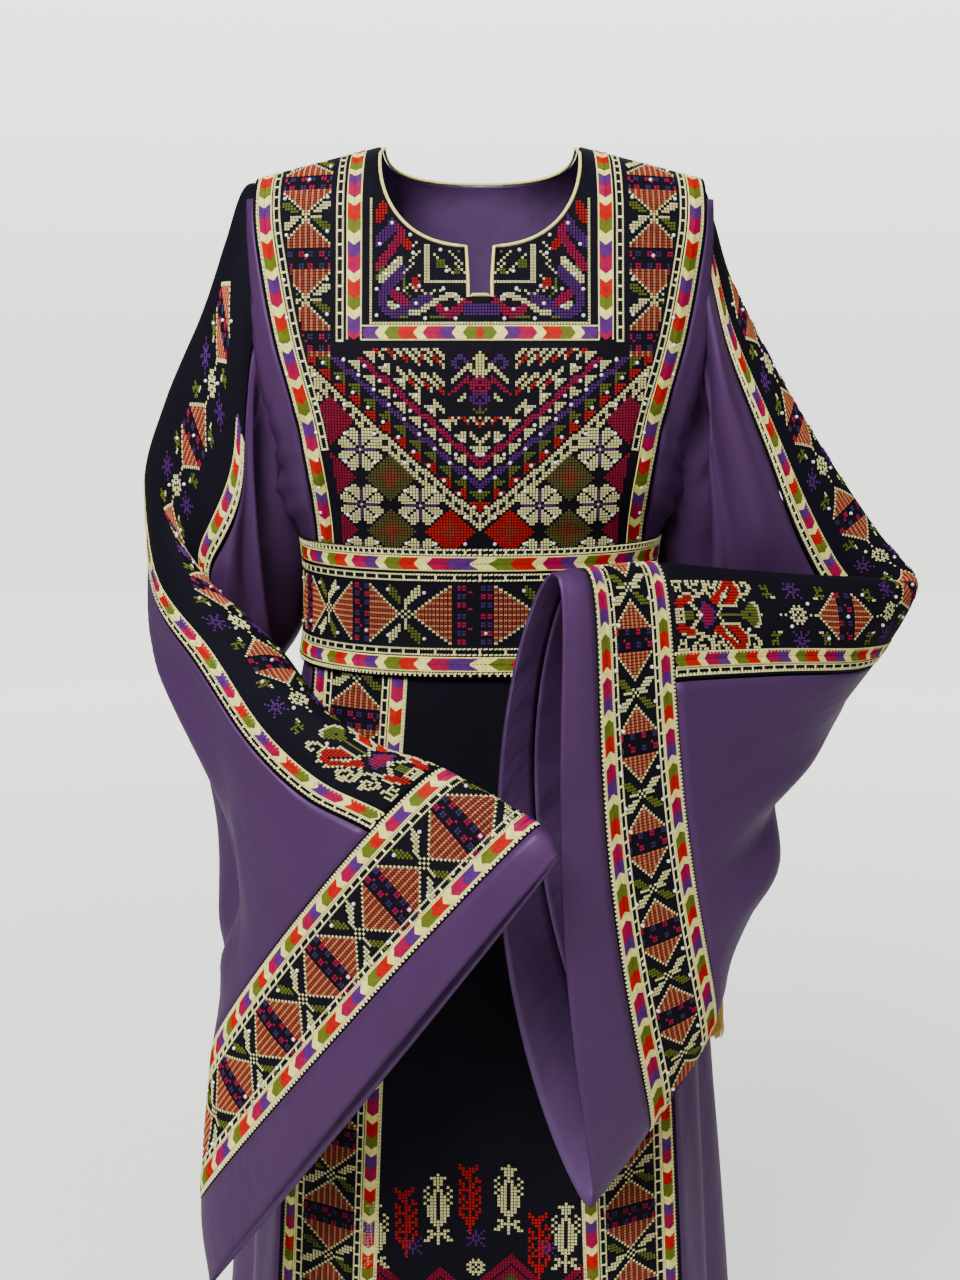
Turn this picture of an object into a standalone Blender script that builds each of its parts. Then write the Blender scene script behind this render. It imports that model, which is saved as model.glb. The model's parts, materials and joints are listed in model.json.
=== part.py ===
"""Palestinian thobe: a long dress in navy crepe and purple satin with wide hanging sleeves.

Metres, +Z up. The origin is at the base of the neck, level with the neck ends of the shoulder seams.
The front faces -Y, and left and right are a viewer's who faces it. Every piece is a cloth wall whose outer
points come from one body surface or one sleeve surface, so neighbouring pieces meet edge to edge.
"""

import math

import bmesh
import bpy
import numpy as np

# Cloth
WALL = 0.0016  # crepe and satin with their embroidery
SEAM = 0.0005  # clear gap between neighbouring pieces
STEP = 0.002  # share of a surface over which its normal is measured

# Neck and shoulders
NECK_HALF_WIDTH = 0.087
NECK_DROP = 0.092
NECK_BACK_DROP = 0.024
NECK_SQUARENESS = 2.5
NECK_POINT_Z = -0.006
NOTCH_HALF_WIDTH = 0.0118
NOTCH_BOTTOM_Z = -0.137
SHOULDER_SLOPE = 0.24
SHOULDER_ROUND = 0.06  # height over which the front and back curve up to the shoulder line
BINDING_RADIUS = 0.0014
BINDING_GAP = 0.0013

# Levels
WAIST_SEAM_Z = -0.400
HEM_Z = -1.420
SIDE_TOP_Z = -0.0525

# Horizontal sections of the body, top down
#   z, half width, front depth, back depth, squareness
BODY = (
    (0.020, 0.209, 0.082, 0.082, 3.0),
    (-0.030, 0.209, 0.085, 0.085, 3.0),
    (-0.100, 0.209, 0.101, 0.092, 3.0),
    (-0.165, 0.200, 0.119, 0.092, 3.0),
    (-0.200, 0.193, 0.127, 0.092, 2.9),
    (-0.280, 0.177, 0.128, 0.088, 2.7),
    (-0.345, 0.161, 0.116, 0.084, 2.5),
    (-0.400, 0.158, 0.112, 0.084, 2.5),
    (-0.455, 0.163, 0.118, 0.090, 2.5),
    (-0.600, 0.196, 0.135, 0.118, 2.5),
    (-0.850, 0.220, 0.150, 0.145, 2.6),
    (-1.127, 0.243, 0.168, 0.172, 2.6),
    (-1.420, 0.268, 0.188, 0.205, 2.6),
)

# Outer edge of the front and back panels
#   z, front half width, back half width
PANEL_EDGE = (
    (0.020, 0.196, 0.192),
    (-0.050, 0.195, 0.190),
    (-0.090, 0.191, 0.182),
    (-0.165, 0.177, 0.166),
    (-0.250, 0.155, 0.149),
    (-0.340, 0.145, 0.138),
    (-0.457, 0.151, 0.143),
    (-0.740, 0.171, 0.168),
    (-1.034, 0.184, 0.190),
    (-1.420, 0.200, 0.215),
)

# Soft folds that run down the skirt: they start at the hips and deepen to the hem
#   bearing from the front in degrees, positive to the right; depth; width in degrees
SKIRT_FOLDS = (
    (58, 0.010, 7),
    (74, -0.010, 8),
    (92, 0.012, 9),
    (112, -0.011, 9),
    (134, 0.013, 10),
    (157, -0.010, 9),
    (180, 0.012, 10),
    (-157, -0.011, 9),
    (-133, 0.012, 9),
    (-110, -0.012, 10),
    (-88, 0.013, 9),
    (-70, -0.009, 8),
    (-55, 0.009, 7),
)
FOLDS_START_Z = -0.56
FOLDS_FULL_Z = -1.30

# Levels of the long panels' rows, closest where the waist curves in
ROW_LEVELS = (
    -0.041, -0.052, -0.075, -0.100, -0.130, -0.165, -0.200, -0.235, -0.270, -0.302, -0.330, -0.352,
    -0.376, -0.400, -0.426, -0.450, -0.475, -0.510, -0.560, -0.620, -0.700, -0.800, -0.920, -1.060,
    -1.200, -1.320,
)

# Belt
BELT_TOP_Z = -0.345
BELT_BOTTOM_Z = -0.457
BELT_CLEARANCE = 0.0022
BELT_WALL = 0.0026

# Sleeves. A sleeve is a row of closed loops. Each loop has a first point, which lies on the outside of the
# upper arm and then on top of the forearm, and an opposite point, at the underarm and then at the lower fold.
# The bearing is the horizontal direction, anticlockwise from +X, of the loop's side that the front of the
# cloth faces. Tables are for the right sleeve, and the left one has its x and bearings mirrored.
#   x, y, z of the first point; x, y, z of the opposite point; thickness; bearing; cloth turned past the
#   first point, measured along the loop from the middle of the navy panel; sway of both sides along X
RIGHT_SLEEVE = (
    (0.186, 0.000, -0.0365, 0.158, 0.000, -0.325, 0.130, -90, 0.000, 0.000),
    (0.198, 0.000, -0.0410, 0.176, 0.000, -0.327, 0.130, -90, 0.000, 0.000),
    (0.207, 0.000, -0.0680, 0.179, 0.000, -0.345, 0.136, -90, -0.002, 0.000),
    (0.229, 0.000, -0.1280, 0.178, 0.000, -0.382, 0.146, -90, -0.006, 0.000),
    (0.291, 0.000, -0.2340, 0.178, 0.000, -0.446, 0.136, -92, -0.006, 0.000),
    (0.366, 0.004, -0.3400, 0.196, 0.012, -0.488, 0.112, -116, -0.006, 0.000),
    (0.403, -0.016, -0.3890, 0.242, 0.010, -0.535, 0.090, -152, -0.002, 0.000),
    (0.335, -0.079, -0.3770, 0.262, -0.026, -0.556, 0.084, -200, 0.004, 0.000),
    (0.221, -0.132, -0.3610, 0.246, -0.088, -0.645, 0.088, -232, 0.010, -0.008),
    (0.140, -0.187, -0.3460, 0.202, -0.156, -0.760, 0.090, -235, 0.014, -0.028),
    (0.078, -0.235, -0.3430, 0.142, -0.190, -0.846, 0.094, -235, 0.016, -0.034),
    (0.056, -0.246, -0.3450, 0.094, -0.206, -0.908, 0.090, -236, 0.016, -0.034),
)
LEFT_SLEEVE = (
    (0.188, 0.000, -0.0365, 0.158, 0.000, -0.325, 0.130, -90, 0.000, 0.000),
    (0.208, 0.000, -0.0400, 0.176, 0.000, -0.327, 0.130, -90, -0.006, 0.000),
    (0.225, 0.000, -0.0840, 0.180, 0.000, -0.352, 0.140, -90, -0.020, 0.000),
    (0.248, 0.000, -0.1450, 0.179, 0.000, -0.398, 0.146, -90, -0.040, 0.000),
    (0.288, 0.004, -0.2280, 0.180, 0.006, -0.460, 0.146, -94, -0.056, 0.000),
    (0.309, 0.000, -0.3000, 0.205, 0.016, -0.512, 0.130, -110, -0.056, 0.000),
    (0.272, -0.064, -0.3620, 0.236, -0.010, -0.520, 0.104, -150, -0.036, 0.000),
    (0.193, -0.141, -0.4180, 0.238, -0.060, -0.520, 0.100, -195, -0.030, 0.000),
    (0.137, -0.205, -0.4590, 0.218, -0.100, -0.600, 0.088, -212, -0.022, 0.000),
    (0.086, -0.235, -0.4830, 0.214, -0.130, -0.690, 0.084, -220, -0.014, 0.000),
    (0.031, -0.265, -0.4940, 0.232, -0.155, -0.787, 0.078, -228, -0.010, 0.000),
    (-0.045, -0.300, -0.5280, 0.242, -0.195, -0.908, 0.074, -238, -0.010, 0.000),
    (-0.060, -0.309, -0.5480, 0.237, -0.202, -0.985, 0.064, -242, -0.010, 0.000),
)
BAND_ROWS = 2  # rows from the end of a table at which the panel and satin stop and the band begins
EDGE_ROWS = 1  # the same for the purple cuff edge
# Rows at which the panel and the satin have their points, closest at the elbow
SLEEVE_ROWS = (
    0, 0.5, 1, 1.5, 2, 2.5, 3, 3.5, 4, 4.35, 4.7, 5, 5.2, 5.4, 5.6, 5.8, 6, 6.2, 6.4, 6.6, 6.8, 7, 7.3,
    7.6, 8, 8.5, 9, 9.5,
)
PANEL_HALF_WIDTH = 0.0865
PANEL_SEAM = 0.0020  # gap between the panel and the satin
ROW_GAP = 0.008  # the seam's gap between two rows, as a share of a row
SATIN_JOIN_ROW = 4.7  # row at which the satin's upper and lower lengths meet
SATIN_JOIN_GAP = 0.014  # gap there, as a share of a row
CUFF_SEAM = 0.0008  # gap between the two halves of a cuff ring, at its folds
LOOP_SAMPLES = 96

# Armhole: the first sleeve loop, and how far the cloth round it is cut back
ARMHOLE_TOP_Z = -0.0365
ARMHOLE_BOTTOM_Z = -0.326
ARMHOLE_HALF_THICKNESS = 0.065
ARMHOLE_EASE = 0.0022
ARMHOLE_INNER_X = 0.120
ARMHOLE_OUTER_X = 0.260

# Tie cord and tassel
TIE_RADIUS = 0.0016
TIE_BEARING = 78  # where it leaves the lower edge of the belt, from the front towards the right
TIE_TOP_Z = -0.4590
TIE_CLEARANCE = 0.004
TASSEL_CLEARANCE = 0.018
TIE_POINTS = 44
TASSEL_TOP_Z = -0.766
TASSEL_HEAD_RADIUS = 0.0055
TASSEL_HEAD_HEIGHT = 0.014
TASSEL_STRAND_LENGTH = 0.050
TASSEL_STRAND_GAP = 0.0003
TASSEL_SPREAD = ((0.4, 1.14), (1.0, 1.16))  # share of the strands' length, and widening down to there
TASSEL_RINGS = 4
TASSEL_SIDES = 12


def curve_through(rows, t, keys=None):
    """Value at t of a smooth curve through rows of numbers, which stand at the ascending keys."""
    rows = np.asarray(rows, dtype=float)
    keys = np.arange(len(rows), dtype=float) if keys is None else np.asarray(keys, dtype=float)
    t = min(max(t, keys[0]), keys[-1])
    i = int(min(np.searchsorted(keys, t, side="right") - 1, len(keys) - 2))
    before, after = max(i - 1, 0), min(i + 2, len(keys) - 1)
    span = keys[i + 1] - keys[i]
    slope_a = (rows[i + 1] - rows[before]) / (keys[i + 1] - keys[before]) * span
    slope_b = (rows[after] - rows[i]) / (keys[after] - keys[i]) * span
    k = (t - keys[i]) / span
    return (
        rows[i] * (2 * k**3 - 3 * k**2 + 1)
        + slope_a * (k**3 - 2 * k**2 + k)
        + rows[i + 1] * (3 * k**2 - 2 * k**3)
        + slope_b * (k**3 - k**2)
    )


def by_height(table, z):
    """The other columns of a table whose first column is z, at height z."""
    rows = np.asarray(table, dtype=float)[::-1]
    return curve_through(rows[:, 1:], z, rows[:, 0])


def smooth_step(k):
    """Zero below 0, one above 1, smooth between."""
    k = min(max(k, 0.0), 1.0)
    return k * k * (3 - 2 * k)


def shoulder_height(x):
    """Height of the shoulder line at x."""
    return NECK_POINT_Z - SHOULDER_SLOPE * (abs(x) - NECK_HALF_WIDTH)


def skirt_fold(x, y, z):
    """How far the folds move a point of the skirt outwards."""
    strength = smooth_step((FOLDS_START_Z - z) / (FOLDS_START_Z - FOLDS_FULL_Z))
    if strength == 0:
        return 0.0
    bearing = math.degrees(math.atan2(x, -y))
    total = 0.0
    for centre, fold_depth, width in SKIRT_FOLDS:
        away = (bearing - centre + 180) % 360 - 180
        total += fold_depth * math.exp(-((away / width) ** 2))
    return total * strength


def body_point(x, y, z, out=0.0):
    """A body point with the skirt's folds, moved outwards by out."""
    r = math.hypot(x, y)
    scale = 1 + (skirt_fold(x, y, z) + out) / max(r, 0.02)
    return np.array((x * scale, y * scale, z))


def crown(x, z):
    """Share of its full depth that the body keeps near the shoulder line."""
    lift = min(max((shoulder_height(x) - z) / SHOULDER_ROUND, 0.0), 1.0)
    return math.sqrt(1 - (1 - lift) ** 2)


def body_depth(x, z, facing):
    """How far the body stands in front of (facing -1) or behind (facing 1) the line of the shoulders."""
    half_width, front, back, squareness = by_height(BODY, z)
    across = max(0.0, 1 - abs(x / half_width) ** squareness) ** (1 / squareness)
    return (front if facing < 0 else back) * across * crown(x, z)


def round_body(angle, z, out=0.0):
    """A body point by its angle in the section: 0 at the right side, -90 degrees at the front."""
    half_width, front, back, squareness = by_height(BODY, z)
    c, s = math.cos(angle), math.sin(angle)
    x = math.copysign(half_width * abs(c) ** (2 / squareness), c)
    y = math.copysign((front if s < 0 else back) * abs(s) ** (2 / squareness), s)
    return body_point(x, y * crown(x, z), z, out)


def section_angle(x, z):
    """Angle at which a section passes x, counted from the side."""
    half_width, _, _, squareness = by_height(BODY, z)
    return math.acos(min(1.0, abs(x) / half_width) ** (squareness / 2))


def neck_edge(k, drop):
    """Neck opening from the middle (k = 0) to the neck point (k = 1), as x and z."""
    turn = k * math.pi / 2
    x = NECK_HALF_WIDTH * math.sin(turn) ** (2 / NECK_SQUARENESS)
    z = NECK_POINT_Z - drop * math.cos(turn) ** (2 / NECK_SQUARENESS)
    return x, z


# Shares of a front or back panel's half width at which its top edge changes
NOTCH_SHARE = 0.06
NOTCH_TOP_SHARE = 0.10
NECK_SHARE = 0.55
FRONT_COLUMNS = (0, NOTCH_SHARE, NOTCH_TOP_SHARE, 0.16, 0.24, 0.33, 0.42, 0.49, NECK_SHARE, 0.7, 0.85, 1.0)
BACK_COLUMNS = (0, 0.16, 0.32, 0.42, 0.49, NECK_SHARE, 0.7, 0.85, 1.0)


def front_top(share):
    """Top edge of the chest panel at a share of its half width: notch, neck, then shoulder."""
    edge = by_height(PANEL_EDGE, shoulder_height(0.2))[0]
    if share <= NOTCH_SHARE:
        return NOTCH_HALF_WIDTH * share / NOTCH_SHARE, NOTCH_BOTTOM_Z
    start_k = 0.052  # where the neck curve reaches the notch's side
    notch_x, notch_z = neck_edge(start_k, NECK_DROP)
    if share <= NOTCH_TOP_SHARE:
        k = (share - NOTCH_SHARE) / (NOTCH_TOP_SHARE - NOTCH_SHARE)
        return NOTCH_HALF_WIDTH + (notch_x - NOTCH_HALF_WIDTH) * k, NOTCH_BOTTOM_Z + (notch_z - NOTCH_BOTTOM_Z) * k
    if share <= NECK_SHARE:
        k = (share - NOTCH_TOP_SHARE) / (NECK_SHARE - NOTCH_TOP_SHARE)
        return neck_edge(start_k + (1 - start_k) * k, NECK_DROP)
    x = NECK_HALF_WIDTH + (edge - NECK_HALF_WIDTH) * (share - NECK_SHARE) / (1 - NECK_SHARE)
    return x, shoulder_height(x)


def back_top(share):
    """Top edge of the back panel: shallow neck, then shoulder."""
    edge = by_height(PANEL_EDGE, shoulder_height(0.2))[1]
    if share <= NECK_SHARE:
        return neck_edge(share / NECK_SHARE, NECK_BACK_DROP)
    x = NECK_HALF_WIDTH + (edge - NECK_HALF_WIDTH) * (share - NECK_SHARE) / (1 - NECK_SHARE)
    return x, shoulder_height(x)


def panel_surface(top_edge, bottom_z, facing):
    """Surface of a front or back panel: u runs across from -1 to 1, v down from 0 to 1."""
    column = 0 if facing < 0 else 1

    def surface(u, v):
        top_x, top_z = top_edge(abs(u))
        z = top_z + (bottom_z - top_z) * v
        top_share = min(1.0, top_x / by_height(PANEL_EDGE, top_z)[column])
        share = top_share + (abs(u) - top_share) * v
        x = math.copysign(by_height(PANEL_EDGE, z)[column] * share, u)
        y = facing * (body_depth(x, z, facing) + SEAM / 2)
        return body_point(x, y, z)

    return surface


def skirt_surface(facing):
    """Surface of the skirt's front or back: u across from -1 to 1, v down from the waist seam."""
    column = 0 if facing < 0 else 1

    def surface(u, v):
        z = WAIST_SEAM_Z - SEAM + (HEM_Z - WAIST_SEAM_Z + SEAM) * v
        x = by_height(PANEL_EDGE, z)[column] * u
        return body_point(x, facing * (body_depth(x, z, facing) + SEAM / 2), z)

    return surface


def side_surface(sign):
    """Surface of a purple side: u from the front panel's edge round to the back panel's, v down."""

    def surface(u, v):
        z = SIDE_TOP_Z + (HEM_Z - SIDE_TOP_Z) * v
        front_x, back_x = by_height(PANEL_EDGE, z)
        start = -section_angle(front_x + SEAM, z)
        end = section_angle(back_x + SEAM, z)
        point = round_body(start + (end - start) * u, z)
        return np.array((sign * point[0], point[1], point[2]))

    return surface


def belt_surface(u, v):
    """Surface of the belt: u once round from the back, v down."""
    z = BELT_TOP_Z + (BELT_BOTTOM_Z - BELT_TOP_Z) * v
    return round_body(math.pi / 2 + 2 * math.pi * u, z, BELT_CLEARANCE + BELT_WALL)


def mirrored(rows):
    """The left sleeve's rows in world places: x and bearing mirrored."""
    return tuple((-r[0], r[1], r[2], -r[3], r[4], r[5], r[6], 180 - r[7], r[8], -r[9]) for r in rows)


SLEEVES = {"right": RIGHT_SLEEVE, "left": mirrored(LEFT_SLEEVE)}


class Loop:
    """One closed loop of a sleeve at a row number, which need not be whole."""

    def __init__(self, rows, row):
        values = curve_through(rows, row)
        first, opposite = values[0:3], values[3:6]
        bearing = math.radians(values[7])
        self.middle = (first + opposite) / 2
        self.half_chord = (first - opposite) / 2
        side = np.array((math.cos(bearing), math.sin(bearing), 0.0))
        along = self.half_chord / np.linalg.norm(self.half_chord)
        side = side - along * side.dot(along)
        self.side = side / np.linalg.norm(side) * values[6] / 2
        self.turned = values[8]
        self.sway = np.array((values[9], 0.0, 0.0))
        turns = np.linspace(0, 2 * math.pi, LOOP_SAMPLES + 1)
        points = np.array([self.at_turn(turn) for turn in turns])
        self.turns = turns
        self.lengths = np.concatenate(([0], np.cumsum(np.linalg.norm(np.diff(points, axis=0), axis=1))))
        self.girth = self.lengths[-1]

    def at_turn(self, turn):
        swing = math.sin(turn)
        return self.middle + self.half_chord * math.cos(turn) + self.side * swing + self.sway * swing**2

    def at(self, place):
        """Point at a distance round the loop from the middle of the navy panel."""
        length = (place - self.turned) % self.girth
        return self.at_turn(np.interp(length, self.lengths, self.turns))


LOOPS = {}


def sleeve_loop(name, row):
    """The loop of a sleeve at a row, made once."""
    key = (name, round(row, 5))
    if key not in LOOPS:
        LOOPS[key] = Loop(SLEEVES[name], row)
    return LOOPS[key]


def sleeve_panel_surface(name, end_row):
    """Navy panel: u across it, v from the armhole to the band."""

    def surface(u, v):
        return sleeve_loop(name, v * end_row).at((2 * u - 1) * PANEL_HALF_WIDTH)

    return surface


def sleeve_satin_surface(name, start_row, end_row):
    """Purple rest of the sleeve: u round from one edge of the panel to the other."""

    def surface(u, v):
        loop = sleeve_loop(name, start_row + (end_row - start_row) * v)
        edge = PANEL_HALF_WIDTH + PANEL_SEAM
        return loop.at(edge + (loop.girth - 2 * edge) * u)

    return surface


def cuff_surface(name, start_row, end_row, half):
    """Half a ring of the sleeve between two rows: half 0 runs from the top fold down its front, half 1 back up."""

    def surface(u, v):
        loop = sleeve_loop(name, start_row + (end_row - start_row) * v)
        length = loop.girth / 2 - CUFF_SEAM
        return loop.at(loop.girth / 2 * half + CUFF_SEAM / 2 + length * u)

    return surface


def cloth_material(name, colour, roughness):
    """Plain Principled material in the cloth's colour."""
    material = bpy.data.materials.new(name)
    material.use_nodes = True
    shader = material.node_tree.nodes["Principled BSDF"]
    shader.inputs["Base Color"].default_value = (*colour, 1)
    shader.inputs["Roughness"].default_value = roughness
    shader.inputs["Metallic"].default_value = 0.0
    return material


NAVY = cloth_material("navy_crepe", (0.012, 0.010, 0.026), 0.75)
PURPLE = cloth_material("purple_satin", (0.105, 0.045, 0.170), 0.38)
CREAM = cloth_material("cream_binding", (0.68, 0.58, 0.36), 0.6)
EMBROIDERED = cloth_material("embroidered_navy", (0.19, 0.08, 0.06), 0.7)
GOLD = cloth_material("gold_thread", (0.62, 0.34, 0.04), 0.5)


def add_object(name, mesh, material):
    """A new smooth-shaded object in the scene."""
    mesh.materials.append(material)
    mesh.shade_smooth()
    thing = bpy.data.objects.new(name, mesh)
    bpy.context.scene.collection.objects.link(thing)
    return thing


def normal_at(surface, u, v, low_u, high_u, ring):
    """Normal of a surface, measured over short steps that stay on it."""
    u_a, u_b = (u - STEP, u + STEP) if ring else (max(u - STEP, low_u), min(u + STEP, high_u))
    v_a, v_b = max(v - STEP, 0.0), min(v + STEP, 1.0)
    across = surface(u_b, v) - surface(u_a, v)
    down = surface(u, v_b) - surface(u, v_a)
    normal = np.cross(across, down)
    return normal / np.linalg.norm(normal)


def add_wall(name, surface, us, vs, material, inside, thickness=WALL, ring=False):
    """A closed cloth wall: the surface's points, and the same points moved in, joined at the rims.

    inside is a point on the hollow side of the wall's middle. A ring's us stop short of the first one.
    """
    columns, rows = len(us), len(vs)
    outer = np.array([[surface(u, v) for u in us] for v in vs])
    normals = np.array([[normal_at(surface, u, v, us[0], us[-1], ring) for u in us] for v in vs])
    middle = (rows // 2, columns // 2)
    outward = 1 if normals[middle].dot(outer[middle] - np.array(inside)) > 0 else -1
    inner = outer - normals * thickness * outward
    mesh = bmesh.new()
    layers = [[[mesh.verts.new(p) for p in row] for row in layer] for layer in (outer, inner)]
    last = columns if ring else columns - 1
    for i in range(rows - 1):
        for j in range(last):
            k = (j + 1) % columns
            for layer in layers:
                mesh.faces.new((layer[i][j], layer[i][k], layer[i + 1][k], layer[i + 1][j]))
    for i in (0, rows - 1):
        for j in range(last):
            k = (j + 1) % columns
            mesh.faces.new((layers[0][i][j], layers[0][i][k], layers[1][i][k], layers[1][i][j]))
    if not ring:
        for j in (0, columns - 1):
            for i in range(rows - 1):
                mesh.faces.new((layers[0][i][j], layers[0][i + 1][j], layers[1][i + 1][j], layers[1][i][j]))
    bmesh.ops.recalc_face_normals(mesh, faces=mesh.faces)
    data = bpy.data.meshes.new(name)
    mesh.to_mesh(data)
    mesh.free()
    return add_object(name, data, material)


def shares(count):
    """count + 1 even shares from 0 to 1."""
    return [i / count for i in range(count + 1)]


def shares_of_levels(top_z, bottom_z):
    """Shares of the way down, from the top of its outer edge, at which a panel has its rows."""
    levels = [z for z in ROW_LEVELS if bottom_z < z < top_z]
    return [0.0] + [(top_z - z) / (top_z - bottom_z) for z in levels] + [1.0]


def both_sides(half):
    """Shares from -1 to 1, from those of one half."""
    return [-u for u in reversed(half) if u > 0] + list(half)


def armhole_cutter(sign):
    """An elliptical bar along X that opens the armhole."""
    bpy.ops.mesh.primitive_cylinder_add(vertices=48, radius=1, depth=1)
    cutter = bpy.context.object
    cutter.name = "armhole_guide"
    half_height = (ARMHOLE_TOP_Z - ARMHOLE_BOTTOM_Z) / 2 + ARMHOLE_EASE
    half_thickness = ARMHOLE_HALF_THICKNESS + ARMHOLE_EASE
    for vert in cutter.data.vertices:
        x, y, z = vert.co
        vert.co = (
            sign * (ARMHOLE_INNER_X if z < 0 else ARMHOLE_OUTER_X),
            half_thickness * y,
            (ARMHOLE_TOP_Z + ARMHOLE_BOTTOM_Z) / 2 + half_height * x,
        )
    mesh = bmesh.new()
    mesh.from_mesh(cutter.data)
    bmesh.ops.recalc_face_normals(mesh, faces=mesh.faces)
    mesh.to_mesh(cutter.data)
    mesh.free()
    cutter.hide_render = True
    cutter.display_type = "WIRE"
    return cutter


def cut_with(thing, cutter):
    """Boolean difference, kept as a modifier."""
    cut = thing.modifiers.new("armhole", "BOOLEAN")
    cut.operation = "DIFFERENCE"
    cut.solver = "EXACT"
    cut.object = cutter


def front_or_back_normal(x, z, facing):
    """Outward normal of the front (facing -1) or back (facing 1) of the body."""
    step = 0.001
    across = (body_depth(x + step, z, facing) - body_depth(x - step, z, facing)) / (2 * step)
    down = (body_depth(x, z - step, facing) - body_depth(x, z, facing)) / step
    normal = np.array((-across, facing, down))
    return normal / np.linalg.norm(normal)


def edge_offset(top_edge, share, facing, onward=STEP):
    """How far the binding stands off a panel's top edge at a share, and the middle of the wall there.

    onward is the step along the edge, forwards or back, over which its direction is measured.
    """
    x, z = top_edge(share)
    x_on, z_on = top_edge(share + onward)
    normal = front_or_back_normal(x, z, facing)
    edge = np.array((x, facing * (body_depth(x, z, facing) + SEAM / 2), z))
    edge_on = np.array((x_on, facing * (body_depth(x_on, z_on, facing) + SEAM / 2), z_on))
    away = np.cross(edge_on - edge, normal)
    away /= np.linalg.norm(away)
    if away.dot(np.array((0.0, 0.0, NECK_POINT_Z + 0.02)) - edge) < 0:
        away = -away
    return away * (BINDING_RADIUS + BINDING_GAP), edge - normal * WALL / 2


def neck_binding():
    """Round binding just inside the neck opening's edge, down into the notch and round the back."""
    half = [sum(edge_offset(front_top, 0.0, -1))]
    for corner in (NOTCH_SHARE, NOTCH_TOP_SHARE):
        before, middle = edge_offset(front_top, corner, -1, -STEP)
        after, _ = edge_offset(front_top, corner, -1, STEP)
        half.append(middle + before + after)
    for share in FRONT_COLUMNS:
        if NOTCH_TOP_SHARE < share < NECK_SHARE:
            half.append(sum(edge_offset(front_top, share, -1)))
    half.append(np.array((NECK_HALF_WIDTH - BINDING_RADIUS - BINDING_GAP, 0.0, NECK_POINT_Z - WALL / 2)))
    for share in reversed(BACK_COLUMNS):
        if share < NECK_SHARE:
            half.append(sum(edge_offset(back_top, share, 1, -STEP if share else STEP)))
    points = half + [np.array((-x, y, z)) for x, y, z in reversed(half[1:-1])]
    return tube("neck_binding", points, BINDING_RADIUS, CREAM, closed=True)


def tube(name, points, radius, material, closed=False):
    """A round cord along points, as a curve with filled ends."""
    curve = bpy.data.curves.new(name, "CURVE")
    curve.dimensions = "3D"
    curve.bevel_depth = radius
    curve.bevel_resolution = 2
    curve.use_fill_caps = not closed
    spline = curve.splines.new("POLY")
    spline.points.add(len(points) - 1)
    for point, place in zip(spline.points, points):
        point.co = (*place, 1)
    spline.use_cyclic_u = closed
    curve.materials.append(material)
    thing = bpy.data.objects.new(name, curve)
    bpy.context.scene.collection.objects.link(thing)
    return thing


def tie_route():
    """The tie hangs from the belt and rests against the side of the skirt down to the tassel."""
    angle = math.radians(TIE_BEARING - 90)
    points = []
    for i in range(TIE_POINTS):
        k = i / (TIE_POINTS - 1)
        z = TIE_TOP_Z + (TASSEL_TOP_Z + SEAM - TIE_TOP_Z) * k
        clearance = TIE_CLEARANCE + (TASSEL_CLEARANCE - TIE_CLEARANCE) * smooth_step(2 * k - 1)
        points.append(tuple(round_body(angle, z, clearance)))
    return points


def tassel(top):
    """Bound head and separate three-sided strands, which grow out of the head's lower face."""
    mesh = bmesh.new()
    x, y, z = top
    profile = ((0.45, 0.0), (0.8, 0.12), (1.0, 0.35), (1.0, 0.6), (0.72, 0.72), (0.8, 0.8), (1.05, 1.0))
    rings = []
    for share, level in profile:
        ring = []
        for k in range(TASSEL_SIDES):
            turn = 2 * math.pi * k / TASSEL_SIDES
            r = TASSEL_HEAD_RADIUS * share
            ring.append(mesh.verts.new((x + r * math.cos(turn), y + r * math.sin(turn), z - TASSEL_HEAD_HEIGHT * level)))
        rings.append(ring)
    mesh.faces.new(rings[0])
    for upper, lower in zip(rings, rings[1:]):
        for k in range(TASSEL_SIDES):
            n = (k + 1) % TASSEL_SIDES
            mesh.faces.new((upper[k], upper[n], lower[n], lower[k]))
    base = []
    previous = rings[-1]
    for step in range(1, TASSEL_RINGS):
        share = 1.05 * (1 - step / TASSEL_RINGS)
        ring = []
        for k in range(TASSEL_SIDES):
            turn = 2 * math.pi * k / TASSEL_SIDES
            r = TASSEL_HEAD_RADIUS * share
            ring.append(mesh.verts.new((x + r * math.cos(turn), y + r * math.sin(turn), z - TASSEL_HEAD_HEIGHT)))
        for k in range(TASSEL_SIDES):
            n = (k + 1) % TASSEL_SIDES
            base.append(mesh.faces.new((previous[k], previous[n], ring[n], ring[k])))
        previous = ring
    mesh.faces.new(previous)
    bmesh.ops.inset_individual(mesh, faces=base, thickness=TASSEL_STRAND_GAP / 2)
    strands = base
    for level, spread in TASSEL_SPREAD:
        strands = bmesh.ops.extrude_discrete_faces(mesh, faces=strands)["faces"]
        for face in strands:
            centre = face.calc_center_median()
            move_x, move_y = (centre.x - x) * (spread - 1), (centre.y - y) * (spread - 1)
            for vert in face.verts:
                vert.co.x += move_x
                vert.co.y += move_y
                vert.co.z = z - TASSEL_HEAD_HEIGHT - TASSEL_STRAND_LENGTH * level
    bmesh.ops.recalc_face_normals(mesh, faces=mesh.faces)
    data = bpy.data.meshes.new("belt_tassel")
    mesh.to_mesh(data)
    mesh.free()
    return add_object("belt_tassel", data, GOLD)


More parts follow.
